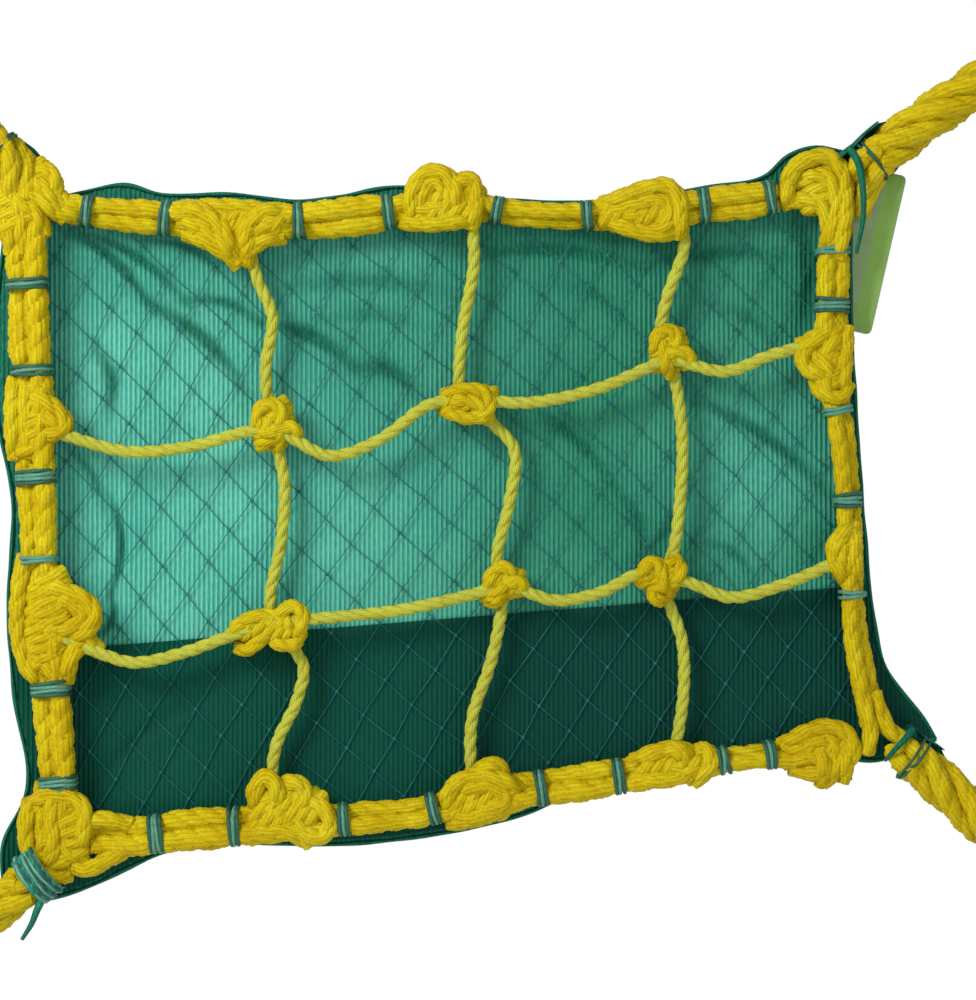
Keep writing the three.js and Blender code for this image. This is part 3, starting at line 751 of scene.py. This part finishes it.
# ---- knots ----
MESH_KNOTS = {  # centre, half sizes, and the parts of rope that show, as (x, z) points
    "mesh_knot_c1r1": ((-85, 38), (11, 13), [
        [(-88, 51), (-88, 40), (-90, 31), (-87, 25)],
        [(-93, 30), (-95, 42), (-92, 50), (-85, 52), (-79, 47), (-79, 38), (-81, 29), (-82, 22)],
        [(-98, 34), (-89, 33), (-80, 35), (-72, 37), (-69, 32), (-74, 29)]]),
    "mesh_knot_c2r1": ((13.8, 50.5), (15, 9), [
        [(5, 55), (13, 51), (22, 45)],
        [(-4, 47), (3, 55), (13, 58), (24, 56), (29, 49), (26, 41), (16, 39), (6, 41), (-2, 45)],
        [(-2, 49), (9, 51), (19, 49), (26, 44), (29, 37)]]),
    "mesh_knot_c3r1": ((116.8, 75.5), (10, 11), [
        [(106, 83), (113, 83), (120, 82)],
        [(109, 70), (107, 80), (109, 87), (116, 90), (121, 86), (121, 76), (119, 68)],
        [(106, 71), (114, 73), (122, 75), (129, 74), (131, 69), (125, 67)],
        [(113, 88), (113, 80), (114, 72), (115, 65), (118, 59)]]),
    "mesh_knot_c1r2": ((-85, -64.5), (18, 9), [
        [(-92, -68), (-82, -67), (-73, -69)],
        [(-109, -78), (-101, -79), (-93, -73), (-87, -66), (-80, -62)],
        [(-113, -72), (-108, -64), (-99, -59), (-89, -57), (-79, -60), (-72, -66)],
        [(-88, -71), (-79, -76), (-70, -75), (-67, -68)],
        [(-83, -57), (-76, -60), (-71, -70)],
        [(-83, -64), (-79, -55), (-71, -51), (-66, -56), (-67, -66), (-71, -74)]]),
    "mesh_knot_c2r2": ((32.1, -42.3), (10, 9), [
        [(20, -54), (27, -55), (31, -50), (37, -45)],
        [(28, -46), (37, -42), (44, -41), (46, -46), (38, -49)],
        [(20, -50), (22, -42), (25, -35), (32, -31), (38, -35), (41, -42)],
        [(18, -53), (26, -50), (32, -44), (33, -35)]]),
    "mesh_knot_c3r2": ((114.2, -39.8), (10, 10), [
        [(112, -46), (107, -50), (107, -54), (112, -55), (117, -50)],
        [(113, -31), (118, -35), (117, -42), (123, -46)],
        [(121, -26), (125, -31), (124, -39), (117, -44), (110, -47), (106, -52)],
        [(98, -44), (105, -38), (112, -33)],
        [(96, -43), (99, -35), (104, -29), (110, -30), (112, -37), (115, -45), (118, -53)]]),
}
BORDER_KNOTS = {
    "border_knot_top_1": ((-104.5, 140), (26, 10), [
        [(-134, 150), (-112, 150.5), (-92, 149), (-76, 147)],
        [(-76, 134), (-88, 131), (-96, 125), (-99, 117)],
        [(-134, 136), (-122, 131), (-110, 124), (-102, 117)],
        [(-74, 141), (-86, 140), (-95, 131), (-99, 119)],
        [(-137, 143), (-124, 138), (-112, 129), (-103, 118)],
        [(-74, 148), (-88, 147), (-97, 137), (-100, 122)],
        [(-136, 150), (-122, 147), (-110, 136), (-102, 121)]]),
    "border_knot_top_2": ((2.6, 150.5), (19, 13), [
        [(-24, 141), (-10, 139), (6, 140), (22, 143)],
        [(-24, 151), (-12, 148), (2, 149), (14, 150)],
        [(-10, 142), (-11, 156), (-4, 163), (4, 157), (3, 144)],
        [(8, 153), (11, 163), (18, 164), (21, 155), (20, 144), (17, 137)],
        [(-17, 141), (-16, 158), (-9, 168), (2, 168), (9, 158), (9, 143)]]),
    "border_knot_top_3": ((102, 147.4), (23, 11), [
        [(80, 146), (94, 144), (106, 145), (113, 142)],
        [(80, 143), (92, 138), (105, 134), (117, 134), (124, 138)],
        [(79, 148), (92, 149), (106, 152), (115, 152), (119, 145), (115, 138), (104, 137)],
        [(79, 150), (92, 155), (106, 160), (118, 161), (125, 152), (125, 141)],
        [(120, 158), (124, 150), (125, 141), (124.4, 132)]]),
    "border_knot_bottom_1": ((-79, -158), (20, 13), [
        [(-101, -161), (-88, -160), (-75, -162), (-66, -170), (-60, -176)],
        [(-101, -169), (-88, -169), (-75, -171), (-64, -178)],
        [(-69, -157), (-62, -153), (-55, -158), (-52, -166), (-57, -173), (-66, -171),
         (-70, -163)],
        [(-82, -145), (-74, -141), (-68, -145), (-68, -153), (-77, -156)],
        [(-98, -149), (-90, -151), (-82, -146)],
        [(-96, -157), (-96, -145), (-90, -138), (-84, -143), (-84, -153), (-87, -158)]]),
    "border_knot_bottom_2": ((21.4, -152), (19, 13), [
        [(1, -166), (12, -165), (28, -160), (44, -154)],
        [(1, -161), (12, -163), (26, -160), (43, -152)],
        [(18, -139), (23, -133), (31, -133), (34, -141)],
        [(8, -154), (12, -147), (22, -144), (33, -148), (35, -154), (26, -157), (15, -157)],
        [(1, -159), (2, -148), (11, -140), (24, -138), (36, -142), (45, -148)]]),
    "border_knot_bottom_3": ((118.3, -136), (21, 8), [
        [(104, -137), (115, -136), (126, -138), (132, -144)],
        [(95, -133), (107, -127), (117, -125), (126, -126), (132, -131)],
        [(95, -141), (107, -143), (120, -142), (130, -137), (139, -134)],
        [(133, -127), (139, -126), (141, -133), (137, -139), (131, -145)],
        [(112, -134), (114, -127), (120, -125), (124, -130), (121, -136)]]),
    "border_knot_left_1": ((-207, 40), (11, 20), [
        [(-218, 66), (-219, 45), (-218, 18)],
        [(-211, 66), (-211, 42), (-210, 18)],
        [(-203, 65), (-202, 44), (-203, 18)],
        [(-212, 58), (-200, 52), (-191, 45), (-188, 38), (-194, 33), (-205, 34)],
        [(-208, 48), (-199, 43), (-193, 38), (-187, 33)]]),
    "border_knot_left_2": ((-200, -62), (14, 26), [
        [(-204, -28), (-206, -50), (-207, -72), (-203, -88)],
        [(-213, -24), (-216, -45), (-216, -70), (-211, -88), (-203, -98)],
        [(-206, -84), (-198, -90), (-194, -99)],
        [(-184, -66), (-176, -73), (-170, -79)],
        [(-199, -47), (-186, -51), (-179, -59), (-187, -66), (-198, -67)],
        [(-202, -38), (-192, -43), (-178, -49), (-172, -58), (-177, -67), (-190, -73)],
        [(-176, -70), (-184, -80), (-190, -97)]]),
    "border_knot_right_1": ((198, 69), (9, 18), [
        [(209, 92), (207, 72), (206, 50)],
        [(180, 80), (188, 84), (197, 88), (203, 96)],
        [(190, 60), (196, 51), (205, 49), (209, 58)],
        [(205, 90), (197, 77), (194, 66), (196, 55), (202, 48)],
        [(200, 89), (189, 84), (182, 76), (184, 67), (192, 63), (200, 57)],
        [(186, 80), (191, 73), (197, 66), (204, 60)]]),
    "border_knot_right_2": ((206.5, -27), (7, 15), [
        [(212, -8), (211, -24), (212, -44)],
        [(208, -12), (203, -24), (206, -42)],
        [(213, -9), (205, -14), (199, -24), (201, -35), (208, -44)]]),
    "corner_knot_tl": ((-212, 153), (18, 18), [
        [(-228, 186), (-216, 181), (-205, 172)],
        [(-204, 122), (-206, 140), (-211, 160), (-222, 174)],
        [(-219, 122), (-222, 142), (-225, 162), (-229, 176)],
        [(-202, 157), (-193, 156), (-187, 149), (-182, 145)],
        [(-206, 147), (-196, 148), (-188, 145), (-181, 144)],
        [(-216, 150), (-208, 164), (-200, 170), (-194, 165), (-194, 156), (-202, 147)],
        [(-212, 122), (-213, 142), (-217, 160), (-226, 172)],
        [(-227, 160), (-215, 152), (-204, 144), (-200, 132)],
        [(-210, 167), (-202, 161), (-194, 153), (-186, 146)],
        [(-218, 160), (-207, 156), (-198, 150), (-188, 142)]]),
    "corner_knot_tr": ((195, 158), (12, 13), [
        [(174, 151), (184, 152), (193, 149), (198, 138), (198, 122)],
        [(176, 148), (173, 155), (176, 164)],
        [(178, 161), (188, 166), (197, 164), (202, 156), (202, 144), (200, 132), (199, 120)],
        [(173, 158), (176, 169), (186, 176), (198, 177), (206, 169), (208, 155), (208, 142),
         (206, 130), (204, 116)]]),
    "corner_knot_bl": ((-192, -172), (16, 19), [
        [(-204, -140), (-204, -165), (-202, -182), (-192, -192)],
        [(-190, -186), (-178, -190), (-165, -184), (-152, -177)],
        [(-182, -163), (-168, -161), (-152, -165)],
        [(-190, -140), (-192, -165), (-190, -178), (-179, -185)],
        [(-211, -150), (-213, -170), (-208, -186), (-198, -195), (-188, -193)],
        [(-211, -153), (-203, -148), (-190, -148), (-180, -153), (-179, -166), (-183, -180)],
        [(-197, -140), (-198, -160), (-197, -178), (-205, -192)]]),
    "corner_knot_br": ((194, -127), (15, 9), [
        [(176, -138), (187, -141), (199, -140), (207, -134)],
        [(171, -135), (185, -131), (194, -134), (194, -146)],
        [(171, -130), (186, -123), (198, -121), (203, -129), (200, -142), (195, -148)],
        [(170, -125), (185, -116), (199, -113), (210, -118), (213, -129), (208, -137)],
        [(203, -122), (208, -132), (208, -146)],
        [(186, -122), (194, -132), (195, -149)]]),
}


def core_path(centre, half, radius):
    """One rope wound to and fro inside the knot, which fills it behind the parts that show."""
    wide, high = max(half[0] - radius * 0.8, 1), max(half[1] - radius * 0.8, 1)
    turns, steps, slant = max(3, round(max(wide, high) / (radius * 0.62))), 30, 0.4
    depth = (KNOT_BACK - KNOT_FRONT) / 2 - radius - 1.2
    t = np.linspace(0, turns, turns * steps)
    along = -1 + 2 * t / turns
    shrink = np.sqrt(1 - 0.5 * along**2)
    turn = 2 * math.pi * t
    if wide > high:
        z = high * shrink * np.cos(turn)
        x = along * wide + slant * z
    else:
        x = wide * shrink * np.cos(turn)
        z = along * high + slant * x
    y = (KNOT_BACK + KNOT_FRONT) / 2 + 0.4 + depth * shrink * np.sin(turn)
    return np.stack([centre[0] + x, y, centre[1] + z], axis=1)


def make_knot(node, centre, half, parts, radius, relief, tight):
    """The parts that show lie over each other in their order, and dive in at their ends. They
    are drawn towards the middle by the part of the radius that tight says."""
    b = Build()
    b.rope(resample(core_path(centre, half, radius), 1.6), radius, relief=relief)
    top, inside, step_back = -KNOT_FRONT - radius, 0.2, 0.55
    middle, drawn = np.array(centre), 1 - radius * tight / (sum(half) / 2 + radius)
    for i, points in enumerate(parts):
        line = at_depth(spline(middle + (np.array(points) - middle) * drawn, 1.5), 0)
        s = arc_lengths(line)
        reach = s / s[-1]
        height = top - step_back * (len(parts) - 1 - i)
        rise = np.clip(np.minimum(s, s[-1] - s) / (radius * 2.2), 0, 1)
        arch = rise * rise * (3 - 2 * rise)
        line[:, 1] = -(height * arch + inside * (1 - arch)) + 0.5 * np.sin(reach * 9 + i)
        b.rope(line, radius, relief=relief, phase=i * 1.7 + centre[0])
    stand_for(b.piece(node + "_rope", ROPE), node)


for knots, knot_rope in ((MESH_KNOTS, (CORD_R + 0.55, 0.36, 0.95)),
                         (BORDER_KNOTS, (BORDER_R + 0.2, 0.3, 0.6))):
    for knot_node, knot in knots.items():
        make_knot(knot_node, *knot, *knot_rope)


# ---- cloth, painted shade layer and fine net ----
EDGE_TOP = [(-222, 150), (-193, 156), (-163, 162), (-143, 157), (-104, 157), (-76, 153.5),
            (-52, 156), (-22, 161), (25, 155), (76, 153), (110, 156), (132, 160), (166, 166),
            (179, 177), (194, 181.5), (208, 179)]
EDGE_BOTTOM = [(-224, -206), (-204, -205.5), (-181, -199), (-160, -189), (-140, -180.5),
               (-107, -176.5), (-51, -177), (3, -171), (45, -161), (66, -152), (133, -143),
               (156, -137), (200, -131.5), (224, -134), (240, -129), (255, -123)]
EDGE_LEFT = [(-224, -206), (-225, -178), (-212, -147), (-219, -102), (-222, -55), (-220, 0),
             (-228, 45), (-228, 102), (-222, 150)]
EDGE_RIGHT = [(255, -123), (249, -113), (229, -86), (222, -55), (218, -12), (215, 25.5),
              (211.5, 87), (210.5, 153), (208, 179)]
CREASES = [  # from, to, width, depth
    ((-192, 138), (-150, 101), 2.4, 2.5), ((-150, 101), (-101, 58), 3.6, 2.4),
    ((-184, 138), (-131, 102), 2.3, 2.4), ((-131, 102), (-92, 91), 2.8, 2.0),
    ((-92, 91), (-44, 68), 3.6, 2.6), ((-44, 68), (-12, 55), 5.0, 2.2),
    ((-150, 134), (-112, 116), 2.2, 1.6), ((-178, 80), (-170, 42), 4.0, 2.0),
    ((-78, 109), (6, 106), 5.0, 1.5), ((-60, 92), (-8, 88), 4.0, 1.0),
    ((22, 127), (104, 120), 3.6, 2.4), ((104, 120), (180, 124), 4.0, 1.8),
    ((60, 112), (100, 85), 4.0, 1.3), ((41, 51), (92, 4), 3.2, 2.0),
    ((92, 4), (104, -31), 3.2, 1.8), ((132, 52), (203, 0), 3.6, 2.2),
    ((186, 140), (186, 88), 4.6, 3.2), ((140, 100), (176, 76), 4.0, 1.3),
    ((-169, 0), (-169, -48), 2.2, 2.4), ((-169, -48), (-178, -71), 2.2, 2.2),
    ((-196, 30), (-172, -8), 2.8, 1.4), ((-180, -150), (-120, -100), 4.0, 1.4),
    ((130, 20), (110, -25), 3.4, 1.6), ((196, -110), (150, -70), 4.0, 1.4),
    ((136, -22), (162, -42), 2.6, 1.5),
]


def crease_field(x, z):
    """How deep the cloth's creases are at these points."""
    total = np.zeros_like(x)
    for (x0, z0), (x1, z1), width, depth in CREASES:
        dx, dz = x1 - x0, z1 - z0
        t = np.clip(((x - x0) * dx + (z - z0) * dz) / (dx * dx + dz * dz), -0.15, 1.15)
        bow = 5 * np.sin(math.pi * t)
        length = math.hypot(dx, dz)
        off = np.hypot(x - x0 - t * dx + bow * dz / length, z - z0 - t * dz - bow * dx / length)
        fade = np.clip(1.15 - np.abs(t - 0.5) * 1.6, 0.1, 1)
        total += depth * fade * np.exp(-((off / width) ** 2))
    return total


PAINTED_SHADE_SPOTS = [  # painted shade, greener, where amount is above 0, and painted light, brighter, below 0: x, z, reach, amount
    (-190, 125, 55, 0.4), (-120, 120, 45, 0.3), (0, 125, 80, 0.25), (100, 130, 60, 0.25),
    (75, 0, 25, 0.3), (70, 45, 30, 0.25), (160, 5, 32, -0.35), (190, 110, 28, 0.35),
    (-40, 70, 30, 0.25), (120, -30, 30, 0.25), (-205, 60, 16, 0.3), (-60, 95, 30, 0.2),
    (195, -20, 18, 0.3), (-150, 0, 60, -0.15), (50, -35, 30, 0.15), (-165, 80, 18, -0.2),
]


def painted_cloth_shade(x, z):
    """Painted shade: 0 where the cloth is painted brightest, at the left, up to 1 where it is
    greenest and darkest.
    """
    t = np.clip((x + 120) / 210, 0, 1)
    total = 0.02 + 0.66 * t * t * (3 - 2 * t)
    for px, pz, reach, amount in PAINTED_SHADE_SPOTS:
        total = total + amount * np.exp(-((x - px) ** 2 + (z - pz) ** 2) / reach**2)
    return np.clip(total, 0, 1)


def cloth_lift(x, z):
    """How far behind its plane the cloth lies: it bellies out between the ropes and creases."""
    belly = 1.6 * np.sin((x + 200) / 100 * math.pi) ** 2 * np.sin((z + 165) / 105 * math.pi) ** 2
    waves = 0.7 * np.sin(x / 31 + z / 47) * np.sin(z / 23 - x / 61)
    return belly + waves + crease_field(x, z)


def patch(columns, rows):
    """A grid over the cloth's outline, from its four edges."""
    top, bottom = (in_even_steps(spline(e, 1.0), columns) for e in (EDGE_TOP, EDGE_BOTTOM))
    left, right = (in_even_steps(spline(e, 1.0), rows) for e in (EDGE_LEFT, EDGE_RIGHT))
    u = np.linspace(0, 1, columns)[None, :, None]
    v = np.linspace(0, 1, rows)[:, None, None]
    sides = left[:, None] * (1 - u) + right[:, None] * u
    ends = bottom[None] * (1 - v) + top[None] * v
    corners = (bottom[0] * (1 - u) * (1 - v) + bottom[-1] * u * (1 - v) + top[0] * (1 - u) * v
               + top[-1] * u * v)
    return sides + ends - corners


def edge_distance(x, z):
    """Distance from the cloth's outline."""
    outline = np.vstack([spline(e, 6.0) for e in (EDGE_TOP, EDGE_BOTTOM, EDGE_LEFT, EDGE_RIGHT)])
    best = np.full(x.shape, 1e9)
    for px, pz in outline:
        best = np.minimum(best, (x - px) ** 2 + (z - pz) ** 2)
    return np.sqrt(best)


def grid_faces(shape):
    index = np.arange(shape[0] * shape[1]).reshape(shape)
    faces = np.stack([index[:-1, :-1], index[:-1, 1:], index[1:, 1:], index[1:, :-1]], axis=2)
    return faces.reshape(-1, 4)


def add_grid(b, x, y, z, tone):
    """A grid of cloth, with its ribs and its painted shade."""
    verts = np.stack([x, y, z], axis=2).reshape(-1, 3)
    yarn = np.stack([x / RIB_PITCH, z / 10, painted_cloth_shade(x, z)], axis=2).reshape(-1, 3)
    b.add(verts, grid_faces(x.shape), yarn, tone.ravel())


def make_cloth():
    """One sheet, pressed into creases that are painted darker as shade, with a darker hem and a
    rolled edge.
    """
    hem_width, hem_blend = 14, 3
    grid = patch(720, 260)
    x, z = grid[..., 0], grid[..., 1]
    rib = RIB_DEPTH * np.cos(2 * math.pi * x / RIB_PITCH)
    edge = edge_distance(x, z)
    y = CLOTH_Y + cloth_lift(x, z) - rib + 0.8 * np.exp(-((edge / 3) ** 2))
    # painted shade along the creases, where the cloth also lies double
    fold = np.clip(crease_field(x, z) / 2.1, 0, 0.9)
    hem = np.clip((hem_width - edge) / hem_blend, 0, 1) * 0.95
    b = Build()
    add_grid(b, x, y, z, np.maximum(fold, hem))
    for e in (EDGE_TOP, EDGE_BOTTOM, EDGE_LEFT, EDGE_RIGHT):  # rolled edge
        line = spline(e, 3.0)
        lift = cloth_lift(line[:, 0], line[:, 1])
        path = np.stack([line[:, 0], CLOTH_Y + 0.4 + lift, line[:, 1]], axis=1)
        b.tube(path, 1.1 + wobble(arc_lengths(path), 9, 0.2, 30), 8, tone=1.0)
    obj = b.piece("shade_cloth", CLOTH)
    stand_for(obj, "shade_cloth_upper", "shade_cloth_lower")


def make_layer():
    """Painted shade: a dark sheet over the lower row, from the cloth's lower edge up to a straight
    line.
    """
    (x0, z0), (x1, z1) = (-224, -79), (224, -43.5)
    columns, rows, cloth_rows = 700, 60, 200
    grid, row = patch(columns, cloth_rows), np.arange(cloth_rows)
    over = grid[..., 1] - (z0 + (grid[..., 0] - x0) * (z1 - z0) / (x1 - x0))
    out = np.zeros((rows, columns, 2))
    for c in range(columns):
        at = np.linspace(1.5, np.interp(0, over[:, c], row), rows)
        out[:, c] = np.stack([np.interp(at, row, grid[:, c, k]) for k in range(2)], axis=1)
    x, z = out[..., 0] * 0.992, out[..., 1]
    rib = RIB_DEPTH * np.cos(2 * math.pi * x / RIB_PITCH)
    y = LAYER_Y + cloth_lift(x, z) - rib
    b = Build()
    # painted shade along the creases
    add_grid(b, x, y, z, np.clip(crease_field(x, z) / 4, 0, 0.7))
    obj = b.piece("dark_layer", LAYER)
    stand_for(obj, "shade_layer_lower")


def inside_outline(point, outline, margin):
    """Whether the point lies inside the closed outline and further than margin from it."""
    a, c = outline, np.roll(outline, -1, axis=0)
    level = (a[:, 1] > point[1]) != (c[:, 1] > point[1])
    slope = (c[:, 0] - a[:, 0]) / (c[:, 1] - a[:, 1] + 1e-12)
    crossings = level & (point[0] < slope * (point[1] - a[:, 1]) + a[:, 0])
    near = np.min(np.hypot(*(outline - point).T))
    return crossings.sum() % 2 == 1 and near > margin


def make_diamond_net():
    """Twine from knot to knot of a skewed grid. It is painted darker, as shade, over the dark layer.
    """
    first, second, origin = np.array([13.8, -12.8]), np.array([10.3, 16.8]), (-134.7, 11.3)
    reach, warped, uneven, margin, sag = 24, 3.0, 0.5, 7, 1.2
    knot_r, knot_proud, knot_shape = 0.5, 0.15, [(-0.8, -0.45), (0, 0.1), (0.8, 0.45)]
    rng = np.random.default_rng(4)
    spot = {}
    for i in range(-reach, reach + 1):
        for j in range(-reach, reach + 1):
            p = origin + i * first + j * second
            warp = np.array([math.sin(p[1] / 37 + 1) + math.sin(p[0] / 53), math.sin(p[0] / 41)])
            spot[i, j] = p + warped * warp + rng.normal(0, uneven, 2)
    grid = patch(60, 50)
    outline = np.vstack([grid[0], grid[:, -1], grid[-1, ::-1], grid[::-1, 0]])
    kept = {k for k, p in spot.items() if inside_outline(p, outline, margin)}
    b = Build()
    for i, j in sorted(kept):
        p = spot[i, j]
        # the net is painted darker, as shade, over the painted shade layer
        tone = float(p[1] < -60 + 0.08 * p[0])  # 1 over the dark layer
        for di, dj in ((1, 0), (0, 1)):
            if (i + di, j + dj) not in kept:
                continue
            t = np.linspace(0, 1, 5)[:, None]
            line = p * (1 - t) + spot[i + di, j + dj] * t
            line[:, 1] -= (sag * t * (1 - t))[:, 0]
            y = NET_Y + cloth_lift(line[:, 0], line[:, 1])
            b.tube(np.stack([line[:, 0], y, line[:, 1]], axis=1), NET_R, 5, tone=tone)
        y = NET_Y + cloth_lift(p[:1], p[1:])[0] - knot_proud
        for turned in (False, True):  # the knot's two crossing parts
            bends = [(u, v) if turned else (v, -u) for u, v in knot_shape]
            line = np.array([(p[0] + du, y, p[1] + dv) for du, dv in bends])
            b.tube(line, knot_r, 6, tone=tone)
    stand_for(b.piece("diamond_net", FINE_NET), "diamond_net_upper", "diamond_net_lower")


make_cloth()
make_layer()
make_diamond_net()


# ---- corner wraps ----
ROOTS = {  # points and thinness where the tie's ropes leave the corner knot; the part of the root
    # that cloth covers, in degrees round it and in mm along it; turns of twine, the first one's
    # place and how far they stand off the rope; how dense the cloth looks
    "tl": {"leaves": [(-212, 154)], "thin": 0.95, "round": (205, 330), "covers": (-14, 8),
           "turns": (2, 3.0, 0.6), "tone": 1.0},
    "tr": {"leaves": [(215, 145), (216, 158)], "thin": 0.4, "round": (-150, 28),
           "covers": (-16, 20), "turns": (2, -3.0, 0.7), "tone": 1.0},
    "bl": {"leaves": [(-198, -183)], "thin": 0.6, "round": (0, 360), "covers": (-17, -4),
           "turns": (6, -15.0, 2.7), "tone": 0.7},
    "br": {"leaves": [(235, -128)], "thin": 0.85, "round": (-110, 10), "covers": (-12, 16),
           "turns": (2, -1.0, 0.7), "tone": 1.0},
}
STRIPS = {  # loose edges of the cloth that show at the corners, as (x, y, z)
    "tr": [(208, -9, 178), (211.5, -13, 171), (213.5, -15, 158), (214, -14, 143), (211, -10, 125)],
    "bl": [(-201, -9, -201), (-204, -10, -208), (-207, -8, -215), (-212, -7, -223)],
    "br": [(240, -6, -117), (235, -13, -121), (230, -14, -126), (226, -8, -132)],
}
BR_ENDS = [  # the right border's end spreads into a foot beside the lower right tie
    [(214, -96), (217, -108), (219, -119), (217, -129)],
    [(221, -98), (225, -110), (230, -118), (236, -122)],
]


def corner_frame(pivot, heading):
    """The root's centre, and the directions along it and across it in the net's plane."""
    a = math.radians(heading[0])
    along = np.array([math.cos(a), 0, math.sin(a)])
    return np.array([pivot[0], TIE_Y, pivot[1]], float), along, np.array([-along[2], 0, along[0]])


def make_root(corner, pivot, heading, leaves, thin):
    """The ropes of the tie between the corner knot and the pivot."""
    root, along, _ = corner_frame(pivot, heading)
    points = [(x, TIE_Y + 5, z) for x, z in leaves]
    path = spline(points + [tuple(root - along * 3), tuple(root + along * 3)], 1.6)
    b = Build()
    cable(b, path, sum(map(ord, corner)), np.interp(arc_lengths(path), [0, 24], [thin, 1]))
    if corner == "br":
        for i, points in enumerate(BR_ENDS):
            line = at_depth(spline(points, 1.6), -3.5 + 2 * i)
            b.rope(line, BORDER_R, 46, 0.3, phase=i)
    obj = b.piece("corner_root_" + corner + "_rope", ROPE)
    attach(obj, BODY_OF["corner_wrap_" + corner])


def wrap_cloth(corner, root, along, across, turned, covered, tone):
    """The cloth's corner, gathered in folds over the root."""
    steps_along, steps_round, proud, strip_thick = 34, 90, 2.2, (2.2, 0.9)
    u, v = np.meshgrid(np.linspace(0, 1, steps_along), np.linspace(0, 1, steps_round), indexing="ij")
    angle = np.radians(turned[0] + (turned[1] - turned[0]) * v)
    taper = 0.55 + 0.45 * np.sin(math.pi * v) + 0.08 * np.sin(v * 23)
    reach = covered[0] + (covered[1] - covered[0]) * u * (taper if corner != "bl" else 1)
    folds = 0.5 * np.sin(angle * 9 + u * 3) + 0.35 * np.sin(angle * 17 - u * 5)
    radius = TIE_R + proud + folds + 0.8 * u**2
    at = placed(root, along, across, reach, radius * np.cos(angle), radius * np.sin(angle))
    b = Build()
    add_grid(b, at[..., 0], at[..., 1], at[..., 2], np.full(u.shape, tone))
    if corner in STRIPS:
        line = spline(STRIPS[corner], 1.5)
        b.tube(line, np.interp(np.arange(len(line)), [0, len(line)], strip_thick), 8, tone=tone)
    return b.piece("corner_wrap_" + corner + "_cloth", CLOTH)


def wrap_twine(corner, root, along, across, turns, first, proud):
    """Turns of twine round the root, uneven and a little askew."""
    radius, pitch, askew = 0.75, 1.8, 0.9
    b = Build()
    rng = np.random.default_rng(ord(corner[0]) * 3 + ord(corner[1]))
    t = np.linspace(0, 2 * math.pi, 60, endpoint=False)
    for k in range(turns):
        shift = first + k * pitch + askew * np.sin(t + rng.uniform(0, 6))
        reach = TIE_R + proud + 0.4 * np.sin(t * 5 + k)
        ring = placed(root, along, across, shift, reach * np.cos(t), reach * np.sin(t))
        b.tube(ring, radius, 7, tone=0.9 if corner == "bl" and k % 2 else 0.1, closed=True)
    return b.piece("corner_wrap_" + corner + "_twine", TWINE)


def make_wrap(corner, pivot, heading, turned, covered, turns, tone):
    """The cloth and twine round a root, baked in place on no body."""
    root, along, across = corner_frame(pivot, heading)
    cloth = wrap_cloth(corner, root, along, across, turned, covered, tone)
    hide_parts("corner_wrap_" + corner)
    twine = wrap_twine(corner, root, along, across, *turns)
    for piece in (cloth, twine):
        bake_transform(piece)


for corner_name, r in ROOTS.items():
    make_root(corner_name, *TIES[corner_name], r["leaves"], r["thin"])
    make_wrap(corner_name, *TIES[corner_name], r["round"], r["covers"], r["turns"], r["tone"])


# ---- tag ----
def make_tag():
    """A card in a clear sleeve, leaning to the right."""
    low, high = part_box("tag")
    middle = np.array((low + high) / 2) / MM
    half_w, half_h, corner, tilt, strip = 12.0, 42.0, 3.0, math.radians(13), 0.2
    v, u = np.meshgrid(np.linspace(-1, 1, 90), np.linspace(-1, 1, 40), indexing="ij")
    x, z = u * half_w, v * half_h
    over = np.stack([np.abs(x) - half_w + corner, np.abs(z) - half_h + corner])
    rounded = (over > 0).all(axis=0)
    pull = np.max(over, axis=0) / np.maximum(np.hypot(*over), 1e-6)
    x = np.where(rounded, np.sign(x) * (half_w - corner + over[0] * pull), x)
    z = np.where(rounded, np.sign(z) * (half_h - corner + over[1] * pull), z)
    outward = np.maximum(np.abs(u), np.abs(v))
    sleeve = np.maximum(np.clip((strip - u) * 20, 0, 1), 0.6 * (outward > 0.95))
    streaks = 0.25 * np.sin(z / 1.9) * np.sin(x * 1.7 + z / 9) * (u < strip)
    tone = np.clip(sleeve - np.abs(streaks), 0, 1).ravel()
    b, quads = Build(), grid_faces(u.shape)
    for face in (-1, 1):
        thick = 0.5 * face * (1 - outward**8)
        at = np.stack([middle[0] + x * math.cos(tilt) + z * math.sin(tilt),
                       middle[1] + thick + 0.6 * np.cos(u * 1.3) + 0.4 * np.sin(v * 2) - 0.6,
                       middle[2] - x * math.sin(tilt) + z * math.cos(tilt)], axis=2)
        b.add(at.reshape(-1, 3), quads if face < 0 else quads[:, ::-1], None, tone)
    stand_for(b.piece("tag_sleeve", CARD), "tag")


def make_tag_string():
    low, high = (np.array(v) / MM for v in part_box("tag_string"))
    x, y, z = (low + high) / 2
    b = Build()
    b.tube(resample(np.array([(x, low[1], z), (x, y, z + 0.3), (x, high[1], z)]), 1.5), 1.0, 8,
           turn=0.5)
    stand_for(b.piece("tag_string_twine", TWINE), "tag_string")


make_tag()
make_tag_string()
